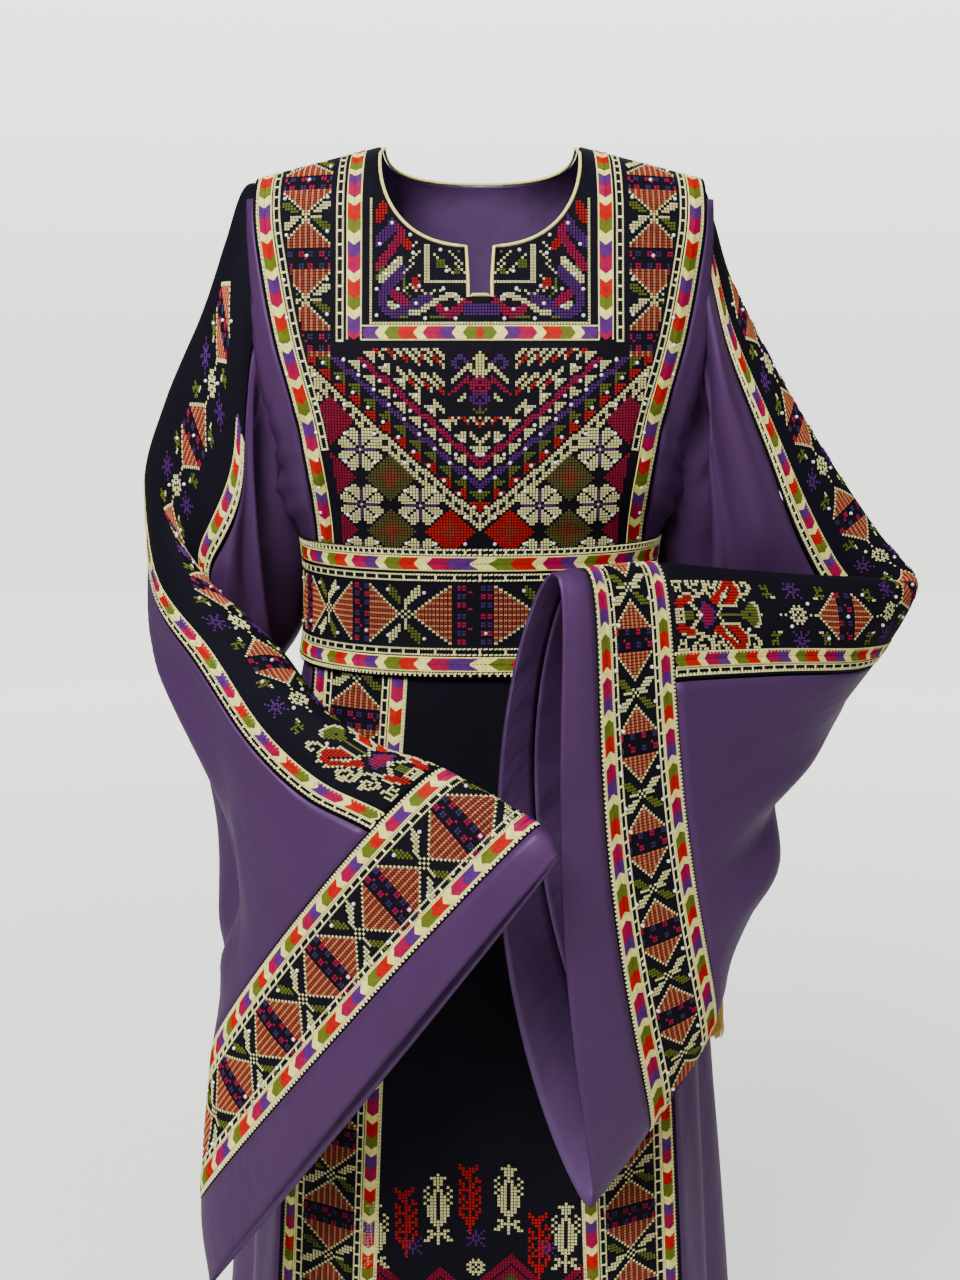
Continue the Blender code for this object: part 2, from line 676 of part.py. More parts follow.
def build_body():
    """Front, skirt, sides, back, neck binding and belt."""
    add_wall(
        "chest_panel",
        panel_surface(front_top, WAIST_SEAM_Z, -1),
        both_sides(FRONT_COLUMNS),
        shares_of_levels(front_top(1.0)[1], WAIST_SEAM_Z),
        EMBROIDERED,
        (0, 0, -0.2),
    )
    add_wall(
        "back_panel",
        panel_surface(back_top, WAIST_SEAM_Z, 1),
        both_sides(BACK_COLUMNS),
        shares_of_levels(back_top(1.0)[1], WAIST_SEAM_Z),
        PURPLE,
        (0, 0, -0.2),
    )
    skirt_rows = shares_of_levels(WAIST_SEAM_Z - SEAM, HEM_Z)
    add_wall("skirt_front", skirt_surface(-1), both_sides(shares(6)), skirt_rows, NAVY, (0, 0, -0.9))
    add_wall("skirt_back", skirt_surface(1), both_sides(shares(7)), skirt_rows, PURPLE, (0, 0, -0.9))
    for name, sign in (("right", 1), ("left", -1)):
        side = add_wall(
            f"side_panel_{name}",
            side_surface(sign),
            shares(14),
            shares_of_levels(SIDE_TOP_Z, HEM_Z),
            PURPLE,
            (0, 0, -0.75),
        )
        cut_with(side, armhole_cutter(sign))
    neck_binding()
    add_wall(
        "belt",
        belt_surface,
        [k / 44 for k in range(44)],
        shares(3),
        EMBROIDERED,
        (0, 0, -0.4),
        thickness=BELT_WALL,
        ring=True,
    )


def build_sleeve(name):
    """Panel, satin, band and edge of one sleeve."""
    cuff_row = len(SLEEVES[name]) - 1
    band_row = cuff_row - BAND_ROWS
    edge_row = cuff_row - EDGE_ROWS
    panel_end = band_row - ROW_GAP
    along = [row / panel_end for row in SLEEVE_ROWS if row < panel_end - 0.3] + [1.0]
    middle = sleeve_loop(name, panel_end / 2).middle
    add_wall(f"sleeve_panel_{name}", sleeve_panel_surface(name, panel_end), shares(5), along, EMBROIDERED, middle)
    for length, start_row, end_row in (
        ("upper", 0.0, SATIN_JOIN_ROW),
        ("lower", SATIN_JOIN_ROW + SATIN_JOIN_GAP, panel_end),
    ):
        rows = [row for row in SLEEVE_ROWS if start_row < row < end_row - 0.3]
        along = [0.0] + [(row - start_row) / (end_row - start_row) for row in rows] + [1.0]
        add_wall(
            f"sleeve_satin_{length}_{name}",
            sleeve_satin_surface(name, start_row, end_row),
            shares(13),
            along,
            PURPLE,
            sleeve_loop(name, (start_row + end_row) / 2).middle,
        )
    for half, side in ((0, "front"), (1, "back")):
        add_wall(
            f"cuff_band_{name}_{side}",
            cuff_surface(name, band_row, edge_row - ROW_GAP, half),
            shares(16),
            shares(3),
            EMBROIDERED,
            sleeve_loop(name, band_row + 0.5).middle,
        )
        add_wall(
            f"cuff_edge_{name}_{side}",
            cuff_surface(name, edge_row, cuff_row, half),
            shares(16),
            shares(2),
            PURPLE,
            sleeve_loop(name, edge_row + 0.5).middle,
        )


def build_tie():
    """Tie cord and its tassel."""
    route = tie_route()
    tube("belt_tie", route, TIE_RADIUS, GOLD)
    x, y, _ = route[-1]
    tassel((x, y, TASSEL_TOP_Z))


def main():
    for thing in list(bpy.data.objects):
        bpy.data.objects.remove(thing)
    build_body()
    for name in SLEEVES:
        build_sleeve(name)
    build_tie()


main()
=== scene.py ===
"""Palestinian thobe: the looks, laid out as a Blender add-on and run as a script.

Metres, +Z up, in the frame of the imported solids. Cloth pieces are walls over the same body and sleeve
surfaces as the solids, with finer folds. The embroidery is real thread: every stitch is a small bar of thread
that Geometry Nodes lays on the cloth from charts.
"""

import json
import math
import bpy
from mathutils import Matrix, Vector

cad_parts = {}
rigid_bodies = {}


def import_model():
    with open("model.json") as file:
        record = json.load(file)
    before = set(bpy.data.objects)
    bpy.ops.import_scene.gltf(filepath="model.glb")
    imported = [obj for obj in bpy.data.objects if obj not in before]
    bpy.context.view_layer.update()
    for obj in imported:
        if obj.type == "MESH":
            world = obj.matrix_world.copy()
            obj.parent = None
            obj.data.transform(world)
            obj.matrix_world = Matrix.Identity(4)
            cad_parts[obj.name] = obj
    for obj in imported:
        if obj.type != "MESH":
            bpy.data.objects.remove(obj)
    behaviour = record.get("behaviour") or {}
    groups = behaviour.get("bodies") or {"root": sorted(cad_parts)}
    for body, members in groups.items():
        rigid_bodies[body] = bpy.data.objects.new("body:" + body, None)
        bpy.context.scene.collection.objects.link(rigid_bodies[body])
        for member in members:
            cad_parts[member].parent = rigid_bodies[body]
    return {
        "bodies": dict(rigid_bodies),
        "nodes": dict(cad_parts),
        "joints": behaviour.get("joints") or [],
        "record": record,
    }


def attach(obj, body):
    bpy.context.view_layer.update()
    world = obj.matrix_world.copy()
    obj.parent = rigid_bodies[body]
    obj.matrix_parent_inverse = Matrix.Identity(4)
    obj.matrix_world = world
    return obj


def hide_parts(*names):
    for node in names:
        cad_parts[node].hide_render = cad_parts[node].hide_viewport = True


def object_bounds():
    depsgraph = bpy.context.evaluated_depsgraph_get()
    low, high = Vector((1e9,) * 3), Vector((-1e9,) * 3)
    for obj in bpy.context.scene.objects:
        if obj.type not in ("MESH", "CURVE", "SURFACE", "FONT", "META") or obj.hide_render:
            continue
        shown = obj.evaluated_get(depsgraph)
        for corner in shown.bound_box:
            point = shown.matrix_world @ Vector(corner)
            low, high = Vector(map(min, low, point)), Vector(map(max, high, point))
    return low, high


bl_info = {
    "name": "Thobe with Cross-Stitch",
    "version": (1, 0, 0),
    "blender": (4, 5, 0),
    "location": "3D View > Sidebar > Thobe",
    "description": "Builds an embroidered thobe in navy crepe and purple satin",
    "category": "Object",
}

import bmesh
import bpy
import numpy as np

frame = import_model()
CAD_BOX = [list(corner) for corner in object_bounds()]

WALL = 0.0016  # thickness of a cloth
SEAM = 0.0005  # gap between two pieces sewn together

# Neck and shoulders
NECK_HALF_WIDTH = 0.087
NECK_DROP = 0.092
NECK_BACK_DROP = 0.024
NECK_SQUARENESS = 2.5
NECK_POINT_Z = -0.006
NOTCH_HALF_WIDTH = 0.0118
NOTCH_BOTTOM_Z = -0.137
SHOULDER_SLOPE = 0.24
SHOULDER_ROUND = 0.06  # height over which the front and back curve up to the shoulder line
BINDING_RADIUS = 0.0014
BINDING_GAP = 0.0013

# Levels
WAIST_SEAM_Z = -0.400
HEM_Z = -1.420
SIDE_TOP_Z = -0.0525

# Horizontal sections of the body, top down
#   z, half width, front depth, back depth, squareness
BODY = (
    (0.020, 0.209, 0.082, 0.082, 3.0),
    (-0.030, 0.209, 0.085, 0.085, 3.0),
    (-0.100, 0.209, 0.101, 0.092, 3.0),
    (-0.165, 0.200, 0.119, 0.092, 3.0),
    (-0.200, 0.193, 0.127, 0.092, 2.9),
    (-0.280, 0.177, 0.128, 0.088, 2.7),
    (-0.345, 0.161, 0.116, 0.084, 2.5),
    (-0.400, 0.158, 0.112, 0.084, 2.5),
    (-0.455, 0.163, 0.118, 0.090, 2.5),
    (-0.600, 0.196, 0.135, 0.118, 2.5),
    (-0.850, 0.220, 0.150, 0.145, 2.6),
    (-1.127, 0.243, 0.168, 0.172, 2.6),
    (-1.420, 0.268, 0.188, 0.205, 2.6),
)

# Outer edge of the front and back panels
#   z, front half width, back half width
PANEL_EDGE = (
    (0.020, 0.196, 0.192),
    (-0.050, 0.195, 0.190),
    (-0.090, 0.191, 0.182),
    (-0.165, 0.177, 0.166),
    (-0.250, 0.155, 0.149),
    (-0.340, 0.145, 0.138),
    (-0.457, 0.151, 0.143),
    (-0.740, 0.171, 0.168),
    (-1.034, 0.184, 0.190),
    (-1.420, 0.200, 0.215),
)

# Soft folds that run down the skirt: they start at the hips and deepen to the hem
#   bearing from the front in degrees, positive to the right; depth; width in degrees
SKIRT_FOLDS = (
    (58, 0.010, 7),
    (74, -0.010, 8),
    (92, 0.012, 9),
    (112, -0.011, 9),
    (134, 0.013, 10),
    (157, -0.010, 9),
    (180, 0.012, 10),
    (-157, -0.011, 9),
    (-133, 0.012, 9),
    (-110, -0.012, 10),
    (-88, 0.013, 9),
    (-70, -0.009, 8),
    (-55, 0.009, 7),
)
FOLDS_START_Z = -0.56
FOLDS_FULL_Z = -1.30

# Belt
BELT_TOP_Z = -0.345
BELT_BOTTOM_Z = -0.457
BELT_CLEARANCE = 0.0022
BELT_WALL = 0.0026

# Sleeves. A sleeve is a row of closed loops. Each loop has a first point, which lies on the outside of the
# upper arm and then on top of the forearm, and an opposite point, at the underarm and then at the lower fold.
# The bearing is the horizontal direction, anticlockwise from +X, of the loop's side that the front of the
# cloth faces. Tables are for the right sleeve, and the left one has its x and bearings mirrored.
#   x, y, z of the first point; x, y, z of the opposite point; thickness; bearing; cloth turned past the
#   first point, measured along the loop from the middle of the navy panel; sway of both sides along X
RIGHT_SLEEVE = (
    (0.186, 0.000, -0.0365, 0.158, 0.000, -0.325, 0.130, -90, 0.000, 0.000),
    (0.198, 0.000, -0.0410, 0.176, 0.000, -0.327, 0.130, -90, 0.000, 0.000),
    (0.207, 0.000, -0.0680, 0.179, 0.000, -0.345, 0.136, -90, -0.002, 0.000),
    (0.229, 0.000, -0.1280, 0.178, 0.000, -0.382, 0.146, -90, -0.006, 0.000),
    (0.291, 0.000, -0.2340, 0.178, 0.000, -0.446, 0.136, -92, -0.006, 0.000),
    (0.366, 0.004, -0.3400, 0.196, 0.012, -0.488, 0.112, -116, -0.006, 0.000),
    (0.403, -0.016, -0.3890, 0.242, 0.010, -0.535, 0.090, -152, -0.002, 0.000),
    (0.335, -0.079, -0.3770, 0.262, -0.026, -0.556, 0.084, -200, 0.004, 0.000),
    (0.221, -0.132, -0.3610, 0.246, -0.088, -0.645, 0.088, -232, 0.010, -0.008),
    (0.140, -0.187, -0.3460, 0.202, -0.156, -0.760, 0.090, -235, 0.014, -0.028),
    (0.078, -0.235, -0.3430, 0.142, -0.190, -0.846, 0.094, -235, 0.016, -0.034),
    (0.056, -0.246, -0.3450, 0.094, -0.206, -0.908, 0.090, -236, 0.016, -0.034),
)
LEFT_SLEEVE = (
    (0.188, 0.000, -0.0365, 0.158, 0.000, -0.325, 0.130, -90, 0.000, 0.000),
    (0.208, 0.000, -0.0400, 0.176, 0.000, -0.327, 0.130, -90, -0.006, 0.000),
    (0.225, 0.000, -0.0840, 0.180, 0.000, -0.352, 0.140, -90, -0.020, 0.000),
    (0.248, 0.000, -0.1450, 0.179, 0.000, -0.398, 0.146, -90, -0.040, 0.000),
    (0.288, 0.004, -0.2280, 0.180, 0.006, -0.460, 0.146, -94, -0.056, 0.000),
    (0.309, 0.000, -0.3000, 0.205, 0.016, -0.512, 0.130, -110, -0.056, 0.000),
    (0.272, -0.064, -0.3620, 0.236, -0.010, -0.520, 0.104, -150, -0.036, 0.000),
    (0.193, -0.141, -0.4180, 0.238, -0.060, -0.520, 0.100, -195, -0.030, 0.000),
    (0.137, -0.205, -0.4590, 0.218, -0.100, -0.600, 0.088, -212, -0.022, 0.000),
    (0.086, -0.235, -0.4830, 0.214, -0.130, -0.690, 0.084, -220, -0.014, 0.000),
    (0.031, -0.265, -0.4940, 0.232, -0.155, -0.787, 0.078, -228, -0.010, 0.000),
    (-0.045, -0.300, -0.5280, 0.242, -0.195, -0.908, 0.074, -238, -0.010, 0.000),
    (-0.060, -0.309, -0.5480, 0.237, -0.202, -0.985, 0.064, -242, -0.010, 0.000),
)
BAND_ROWS = 2  # rows from the end of a table at which the panel and satin stop and the band begins
EDGE_ROWS = 1  # the same for the purple cuff edge
PANEL_HALF_WIDTH = 0.0865
PANEL_SEAM = 0.0020  # gap between the panel and the satin
ROW_GAP = 0.008  # the seam's gap between two rows, as a share of a row
LOOP_SAMPLES = 96

# Armhole
ARMHOLE_TOP_Z = -0.0365
ARMHOLE_BOTTOM_Z = -0.326
ARMHOLE_HALF_THICKNESS = 0.065
ARMHOLE_HALF_HEIGHT = (ARMHOLE_TOP_Z - ARMHOLE_BOTTOM_Z) / 2
ARMHOLE_MIDDLE_Z = (ARMHOLE_TOP_Z + ARMHOLE_BOTTOM_Z) / 2
ARMHOLE_INNER_X = 0.120
ARMHOLE_OUTER_X = 0.260

# Tie cord and tassel
TIE_RADIUS = 0.0016
TIE_BEARING = 78  # where it leaves the lower edge of the belt, from the front towards the right
TIE_TOP_Z = -0.4590
TIE_CLEARANCE = 0.004
TASSEL_CLEARANCE = 0.018
TIE_POINTS = 44
TASSEL_TOP_Z = -0.766
TASSEL_HEAD_RADIUS = 0.0055
TASSEL_HEAD_HEIGHT = 0.014
TASSEL_STRAND_LENGTH = 0.050


def curve_through(rows, t, keys=None):
    """Value at t of a smooth curve through rows of numbers, which stand at the ascending keys."""
    rows = np.asarray(rows, dtype=float)
    keys = np.arange(len(rows), dtype=float) if keys is None else np.asarray(keys, dtype=float)
    t = min(max(t, keys[0]), keys[-1])
    i = int(min(np.searchsorted(keys, t, side="right") - 1, len(keys) - 2))
    before, after = max(i - 1, 0), min(i + 2, len(keys) - 1)
    span = keys[i + 1] - keys[i]
    slope_a = (rows[i + 1] - rows[before]) / (keys[i + 1] - keys[before]) * span
    slope_b = (rows[after] - rows[i]) / (keys[after] - keys[i]) * span
    k = (t - keys[i]) / span
    return (
        rows[i] * (2 * k**3 - 3 * k**2 + 1)
        + slope_a * (k**3 - 2 * k**2 + k)
        + rows[i + 1] * (3 * k**2 - 2 * k**3)
        + slope_b * (k**3 - k**2)
    )


def by_height(table, z):
    """The other columns of a table whose first column is z, at height z."""
    rows = np.asarray(table, dtype=float)[::-1]
    return curve_through(rows[:, 1:], z, rows[:, 0])


def smooth_step(k):
    """Zero below 0, one above 1, smooth between."""
    k = min(max(k, 0.0), 1.0)
    return k * k * (3 - 2 * k)


def shoulder_height(x):
    """Height of the shoulder line at x."""
    return NECK_POINT_Z - SHOULDER_SLOPE * (abs(x) - NECK_HALF_WIDTH)


def skirt_fold(x, y, z):
    """How far the folds move a point of the skirt outwards."""
    strength = smooth_step((FOLDS_START_Z - z) / (FOLDS_START_Z - FOLDS_FULL_Z))
    if strength == 0:
        return 0.0
    bearing = math.degrees(math.atan2(x, -y))
    total = 0.0
    for centre, fold_depth, width in SKIRT_FOLDS:
        away = (bearing - centre + 180) % 360 - 180
        total += fold_depth * math.exp(-((away / width) ** 2))
    return total * strength


def body_point(x, y, z, out=0.0):
    """A body point with the skirt's folds, moved outwards by out."""
    r = math.hypot(x, y)
    scale = 1 + (skirt_fold(x, y, z) + out) / max(r, 0.02)
    return np.array((x * scale, y * scale, z))


def crown(x, z):
    """Share of its full depth that the body keeps near the shoulder line."""
    lift = min(max((shoulder_height(x) - z) / SHOULDER_ROUND, 0.0), 1.0)
    return math.sqrt(1 - (1 - lift) ** 2)


def body_depth(x, z, facing):
    """How far the body stands in front of (facing -1) or behind (facing 1) the line of the shoulders."""
    half_width, front, back, squareness = by_height(BODY, z)
    across = max(0.0, 1 - abs(x / half_width) ** squareness) ** (1 / squareness)
    return (front if facing < 0 else back) * across * crown(x, z)


def round_body(angle, z, out=0.0):
    """A body point by its angle in the section: 0 at the right side, -90 degrees at the front."""
    half_width, front, back, squareness = by_height(BODY, z)
    c, s = math.cos(angle), math.sin(angle)
    x = math.copysign(half_width * abs(c) ** (2 / squareness), c)
    y = math.copysign((front if s < 0 else back) * abs(s) ** (2 / squareness), s)
    return body_point(x, y * crown(x, z), z, out)


def section_angle(x, z):
    """Angle at which a section passes x, counted from the side."""
    half_width, _, _, squareness = by_height(BODY, z)
    return math.acos(min(1.0, abs(x) / half_width) ** (squareness / 2))


def neck_edge(k, drop):
    """Neck opening from the middle (k = 0) to the neck point (k = 1), as x and z."""
    turn = k * math.pi / 2
    x = NECK_HALF_WIDTH * math.sin(turn) ** (2 / NECK_SQUARENESS)
    z = NECK_POINT_Z - drop * math.cos(turn) ** (2 / NECK_SQUARENESS)
    return x, z


# Shares of a front or back panel's half width at which its top edge changes
NOTCH_SHARE = 0.06
NOTCH_TOP_SHARE = 0.10
NECK_SHARE = 0.55
FRONT_COLUMNS = (0, NOTCH_SHARE, NOTCH_TOP_SHARE, 0.16, 0.24, 0.33, 0.42, 0.49, NECK_SHARE, 0.7, 0.85, 1.0)
BACK_COLUMNS = (0, 0.16, 0.32, 0.42, 0.49, NECK_SHARE, 0.7, 0.85, 1.0)


def front_top(share):
    """Top edge of the chest panel at a share of its half width: notch, neck, then shoulder."""
    edge = by_height(PANEL_EDGE, shoulder_height(0.2))[0]
    if share <= NOTCH_SHARE:
        return NOTCH_HALF_WIDTH * share / NOTCH_SHARE, NOTCH_BOTTOM_Z
    start_k = 0.052  # where the neck curve reaches the notch's side
    notch_x, notch_z = neck_edge(start_k, NECK_DROP)
    if share <= NOTCH_TOP_SHARE:
        k = (share - NOTCH_SHARE) / (NOTCH_TOP_SHARE - NOTCH_SHARE)
        x = NOTCH_HALF_WIDTH + (notch_x - NOTCH_HALF_WIDTH) * k
        return x, NOTCH_BOTTOM_Z + (notch_z - NOTCH_BOTTOM_Z) * k
    if share <= NECK_SHARE:
        k = (share - NOTCH_TOP_SHARE) / (NECK_SHARE - NOTCH_TOP_SHARE)
        return neck_edge(start_k + (1 - start_k) * k, NECK_DROP)
    x = NECK_HALF_WIDTH + (edge - NECK_HALF_WIDTH) * (share - NECK_SHARE) / (1 - NECK_SHARE)
    return x, shoulder_height(x)


def back_top(share):
    """Top edge of the back panel: shallow neck, then shoulder."""
    edge = by_height(PANEL_EDGE, shoulder_height(0.2))[1]
    if share <= NECK_SHARE:
        return neck_edge(share / NECK_SHARE, NECK_BACK_DROP)
    x = NECK_HALF_WIDTH + (edge - NECK_HALF_WIDTH) * (share - NECK_SHARE) / (1 - NECK_SHARE)
    return x, shoulder_height(x)


def panel_surface(top_edge, bottom_z, facing):
    """Surface of a front or back panel: u runs across from -1 to 1, v down from 0 to 1."""
    column = 0 if facing < 0 else 1

    def surface(u, v):
        top_x, top_z = top_edge(abs(u))
        z = top_z + (bottom_z - top_z) * v
        top_share = min(1.0, top_x / by_height(PANEL_EDGE, top_z)[column])
        share = top_share + (abs(u) - top_share) * v
        x = math.copysign(by_height(PANEL_EDGE, z)[column] * share, u)
        y = facing * (body_depth(x, z, facing) + SEAM / 2)
        return body_point(x, y, z)

    return surface


def skirt_surface(u, v):
    """Surface of the skirt front: u across from -1 to 1, v down from the waist seam."""
    z = WAIST_SEAM_Z - SEAM + (HEM_Z - WAIST_SEAM_Z + SEAM) * v
    x = by_height(PANEL_EDGE, z)[0] * u
    return body_point(x, -body_depth(x, z, -1) - SEAM / 2, z)


def side_surface(sign):
    """Surface of a purple side: u from the front panel's edge round to the back panel's, v down."""

    def surface(u, v):
        z = SIDE_TOP_Z + (HEM_Z - SIDE_TOP_Z) * v
        front_x, back_x = by_height(PANEL_EDGE, z)
        start = -section_angle(front_x + SEAM, z)
        end = section_angle(back_x + SEAM, z)
        point = round_body(start + (end - start) * u, z)
        return np.array((sign * point[0], point[1], point[2]))

    return surface


def belt_surface(u, v):
    """Surface of the belt: u once round from the back, v down."""
    z = BELT_TOP_Z + (BELT_BOTTOM_Z - BELT_TOP_Z) * v
    return round_body(math.pi / 2 + 2 * math.pi * u, z, BELT_CLEARANCE + BELT_WALL)


def mirrored(rows):
    """The left sleeve's rows in world places: x and bearing mirrored."""
    return tuple((-r[0], r[1], r[2], -r[3], r[4], r[5], r[6], 180 - r[7], r[8], -r[9]) for r in rows)


SLEEVES = {"right": RIGHT_SLEEVE, "left": mirrored(LEFT_SLEEVE)}


class Loop:
    """One closed loop of a sleeve at a row number, which need not be whole."""

    def __init__(self, rows, row):
        values = curve_through(rows, row)
        first, opposite = values[0:3], values[3:6]
        bearing = math.radians(values[7])
        self.middle = (first + opposite) / 2
        self.half_chord = (first - opposite) / 2
        side = np.array((math.cos(bearing), math.sin(bearing), 0.0))
        along = self.half_chord / np.linalg.norm(self.half_chord)
        side = side - along * side.dot(along)
        self.side = side / np.linalg.norm(side) * values[6] / 2
        self.turned = values[8]
        self.sway = np.array((values[9], 0.0, 0.0))
        turns = np.linspace(0, 2 * math.pi, LOOP_SAMPLES + 1)
        points = np.array([self.at_turn(turn) for turn in turns])
        self.turns = turns
        self.lengths = np.concatenate(([0], np.cumsum(np.linalg.norm(np.diff(points, axis=0), axis=1))))
        self.girth = self.lengths[-1]

    def at_turn(self, turn):
        swing = math.sin(turn)
        return self.middle + self.half_chord * math.cos(turn) + self.side * swing + self.sway * swing**2

    def at(self, place):
        """Point at a distance round the loop from the middle of the navy panel."""
        length = (place - self.turned) % self.girth
        return self.at_turn(np.interp(length, self.lengths, self.turns))


LOOPS = {}


def sleeve_loop(name, row):
    """The loop of a sleeve at a row, made once."""
    key = (name, round(row, 5))
    if key not in LOOPS:
        LOOPS[key] = Loop(SLEEVES[name], row)
    return LOOPS[key]


def sleeve_ring_surface(name, start_row, end_row):
    """A whole ring of the sleeve between two rows."""

    def surface(u, v):
        loop = sleeve_loop(name, start_row + (end_row - start_row) * v)
        return loop.at(loop.girth * u)

    return surface


# Soft folds of the sleeves: ridges and hollows that run along or across the cloth
#   row, place round the sleeve from the panel's middle, rows it runs over, width, height,
#   drift of place per row
SLEEVE_FOLDS = {
    "right": (
        (3.2, 0.118, 2.6, 0.018, 0.0070, 0.004),
        (3.4, 0.160, 2.4, 0.016, -0.0090, 0.006),
        (3.4, 0.200, 2.4, 0.018, 0.0085, 0.008),
        (2.8, 0.226, 2.6, 0.042, -0.0430, 0.006),
        (1.8, 0.335, 1.8, 0.055, 0.0240, 0.0),
        (3.4, -0.150, 2.6, 0.022, 0.0060, 0.0),
        (3.6, -0.215, 2.6, 0.020, -0.0060, 0.0),
        (6.6, -0.150, 1.6, 0.018, 0.0100, -0.035),
        (7.2, -0.200, 1.8, 0.022, -0.0130, -0.040),
        (7.8, -0.270, 1.8, 0.024, 0.0130, -0.030),
        (8.6, -0.370, 1.6, 0.026, -0.0120, -0.020),
        (8.0, 0.180, 1.8, 0.024, 0.0070, 0.020),
        (8.4, 0.290, 1.8, 0.024, -0.0070, 0.020),
    ),
    "left": (
        (3.4, -0.150, 2.6, 0.018, -0.0070, -0.006),
        (3.6, -0.195, 2.6, 0.016, 0.0070, -0.006),
        (3.0, 0.112, 2.4, 0.016, 0.0060, 0.004),
        (3.4, 0.150, 2.4, 0.018, -0.0110, 0.008),
        (3.4, 0.195, 2.2, 0.018, 0.0100, 0.010),
        (3.0, 0.232, 2.2, 0.036, -0.0360, 0.006),
        (1.6, 0.322, 1.6, 0.050, 0.0200, 0.0),
        (3.0, 0.300, 1.4, 0.040, 0.0200, 0.0),
        (6.8, -0.130, 1.4, 0.016, 0.0080, -0.020),
        (7.6, -0.190, 1.8, 0.020, -0.0120, -0.030),
        (8.2, -0.260, 1.8, 0.022, 0.0120, -0.030),
        (9.0, -0.350, 1.8, 0.024, -0.0080, -0.020),
        (8.4, 0.200, 1.8, 0.024, 0.0070, 0.020),
        (8.8, 0.320, 1.8, 0.024, -0.0070, 0.020),
    ),
}

# Soft creases of the bodice and skirt front: x, z of the middle; half length; width; height; slant in degrees
FRONT_CREASES = (
    (-0.172, -0.255, 0.040, 0.007, 0.0050, 58),
    (-0.178, -0.278, 0.036, 0.006, -0.0045, 52),
    (-0.166, -0.296, 0.040, 0.007, 0.0055, 62),
    (-0.158, -0.314, 0.030, 0.006, -0.0040, 40),
    (-0.138, -0.280, 0.050, 0.009, 0.0028, 70),
    (0.172, -0.250, 0.042, 0.007, 0.0048, -58),
    (0.178, -0.276, 0.036, 0.006, -0.0042, -50),
    (0.166, -0.300, 0.040, 0.007, 0.0052, -64),
    (0.136, -0.285, 0.050, 0.009, 0.0026, -70),
    (0.060, -0.322, 0.060, 0.009, 0.0016, 8),
    (-0.060, -0.318, 0.060, 0.009, -0.0014, -6),
    (0.050, -0.700, 0.220, 0.030, 0.0060, 88),
    (-0.040, -0.760, 0.260, 0.032, -0.0055, 91),
    (-0.120, -1.050, 0.300, 0.030, 0.0070, 86),
    (0.110, -1.120, 0.300, 0.034, 0.0070, 93),
    (0.000, -1.200, 0.260, 0.034, -0.0070, 90),
)


def front_crease(x, z):
    """How far the front's creases stand out at a point."""
    total = 0.0
    for mid_x, mid_z, length, width, height, slant in FRONT_CREASES:
        turn = math.radians(slant)
        along = (x - mid_x) * math.cos(turn) + (z - mid_z) * math.sin(turn)
        aside = (z - mid_z) * math.cos(turn) - (x - mid_x) * math.sin(turn)
        total += height * math.exp(-((along / length) ** 2) - (aside / width) ** 2)
    if z > WAIST_SEAM_Z:
        return total * smooth_step((WAIST_SEAM_Z + 0.055 - z) / -0.03)
    return total * smooth_step((-0.46 - z) / 0.08)


def front_point(x, z):
    """A point of the front, creases included."""
    return body_point(x, -body_depth(x, z, -1) - SEAM / 2 - front_crease(x, z), z)


def front_or_back_normal(x, z, facing):
    """Outward normal of the front (facing -1) or back (facing 1) of the body."""
    step = 0.001
    across = (body_depth(x + step, z, facing) - body_depth(x - step, z, facing)) / (2 * step)
    down = (body_depth(x, z - step, facing) - body_depth(x, z, facing)) / step
    normal = np.array((-across, facing, down))
    return normal / np.linalg.norm(normal)


